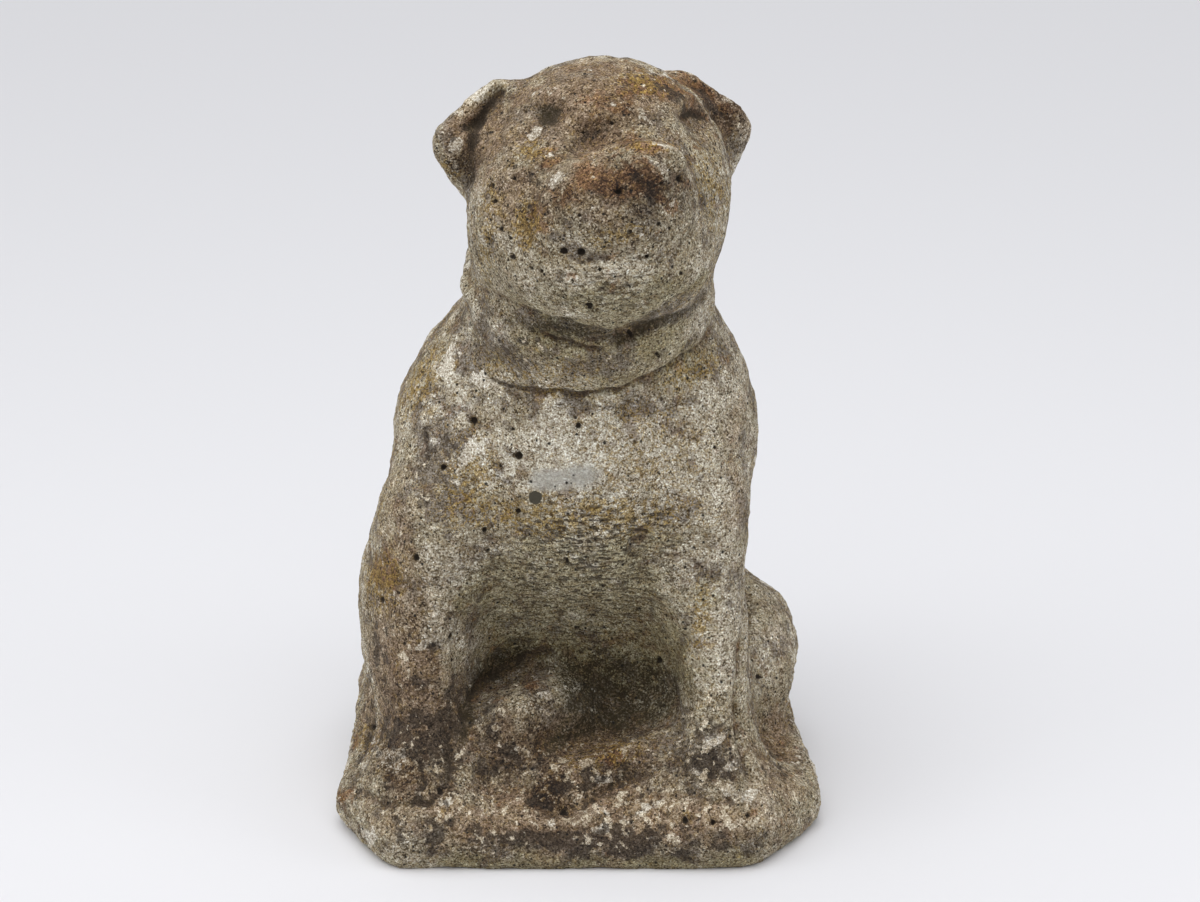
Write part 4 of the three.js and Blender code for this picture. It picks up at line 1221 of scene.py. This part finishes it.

    # air holes: black inside, painted shade
    pores = cells(settings["finePores"], shaken)
    poreChance = addNode(tree, "ShaderNodeSeparateColor", {0: pores["Color"]}).outputs
    poreReach = calc("MULTIPLY", calc("ADD", 0.4, poreChance[0]),
                     settings["poreRadius"] / settings["finePores"])
    pore = addNode(tree, "ShaderNodeMapRange",
                   {"Value": pores["Distance"], "From Min": calc("MULTIPLY", poreReach, 1.15),
                    "From Max": calc("MULTIPLY", poreReach, 0.75)},
                   interpolation_type="SMOOTHSTEP").outputs[0]
    ragged = calc("MULTIPLY", calc("SUBTRACT", noiseField(settings["holeEdge"], 2, 5.3), 0.5), 0.9)
    pit = smoothStep(calc("ADD", painted("pit"), ragged), 0.02, 0.22)
    dark = calc("MAXIMUM", calc("MAXIMUM", pore, pit), smoothStep(painted("hole"), 0.3, 0.6))
    colour = mixed(calc("MULTIPLY", dark, 0.92), colour, linear(settings["holeShade"]))
    # painted shade darkens the fine creases, with the dirt that gathers in them
    creviceShadeShare = calc("MULTIPLY", smoothStep(painted("crevice"), 0.05, 0.45), 0.5)
    colour = mixed(creviceShadeShare, colour, linear(settings["crevice"]))

    relief = calc("MULTIPLY", sand["Distance"], -settings["grainRelief"])
    relief = calc("SUBTRACT", relief, calc("MULTIPLY", pore, settings["poreDepth"]))
    relief = calc("SUBTRACT", relief, calc("MULTIPLY", tear, settings["tearDepth"]))
    fine = noiseField(settings["fineGrain"], 2, 3.7)
    relief = calc("ADD", relief, calc("MULTIPLY", fine, settings["fineRelief"]))
    bump = addNode(tree, "ShaderNodeBump",
                   {"Strength": 1.0, "Distance": millimetre, "Height": relief})
    shader = addNode(tree, "ShaderNodeBsdfPrincipled",
                     {"Base Color": colour, "Roughness": settings["roughness"], "IOR": 1.5,
                      "Normal": bump.outputs[0]})
    addNode(tree, "ShaderNodeOutputMaterial", {"Surface": shader.outputs[0]})
    return material


paintPatches(statue, onFront)
weatherSkin(statue, stoneMaterial())
measureHollows(statue)
thin(statue, onFront)
keepInside(statue, cadBox)
statue.data.calc_loop_triangles()
print("statue weathered:", len(statue.data.loop_triangles), "triangles")

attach(statue, "root")
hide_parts(solidName)

# A plain pale floor under soft studio light: a wide ceiling of light, a softbox overhead and a weaker one
# on each side.
studioSettings = {
    "floorSize": 12.0,  # metres
    "floorColour": "#e6e6e9",
    "worldColour": "#eceef3",
    "worldStrength": 0.26,
    "ceiling": {"from": (-0.25, -0.5, 2.0), "spread": 85.0, "power": 2.05},  # metres, degrees
    "softboxes": {
        "overhead": {"at": (-0.1, -0.35, 1.7), "size": 1.0, "power": 6.5},
        "left": {"at": (-1.7, -0.7, 1.1), "size": 1.0, "power": 4.5},
        "right": {"at": (1.7, -0.6, 1.0), "size": 1.0, "power": 4.5},
    },
}


def addFloor():
    half = studioSettings["floorSize"] / 2
    mesh = bpy.data.meshes.new("floor")
    mesh.from_pydata([(-half, -half, 0), (half, -half, 0), (half, half, 0), (-half, half, 0)], [],
                     [(0, 1, 2, 3)])
    floor = bpy.data.objects.new("floor", mesh)
    bpy.context.scene.collection.objects.link(floor)
    paint = bpy.data.materials.new("mattPaper")
    paint.use_nodes = True
    surface = paint.node_tree.nodes["Principled BSDF"].inputs
    surface["Base Color"].default_value = linear(studioSettings["floorColour"])
    surface["Roughness"].default_value = 0.9
    mesh.materials.append(paint)


def addLamp(name, kind, place):
    data = bpy.data.lights.new(name, kind)
    lamp = bpy.data.objects.new(name, data)
    lamp.location = place
    towards = Vector(cameraSettings["target"]) - lamp.location
    lamp.rotation_euler = towards.to_track_quat("-Z", "Y").to_euler()
    bpy.context.scene.collection.objects.link(lamp)
    return data


def addLights():
    ceiling = studioSettings["ceiling"]
    data = addLamp("ceiling", "SUN", ceiling["from"])
    data.angle = math.radians(ceiling["spread"])
    data.energy = ceiling["power"]
    for name, box in studioSettings["softboxes"].items():
        data = addLamp(name, "AREA", box["at"])
        data.size = box["size"]
        data.energy = box["power"]
    world = bpy.data.worlds.new("studio")
    world.use_nodes = True
    sky = world.node_tree.nodes["Background"].inputs
    sky["Color"].default_value = linear(studioSettings["worldColour"])
    sky["Strength"].default_value = studioSettings["worldStrength"]
    bpy.context.scene.world = world
    bpy.context.scene.view_settings.view_transform = "Standard"


addFloor()
addLights()
print("studio lit")
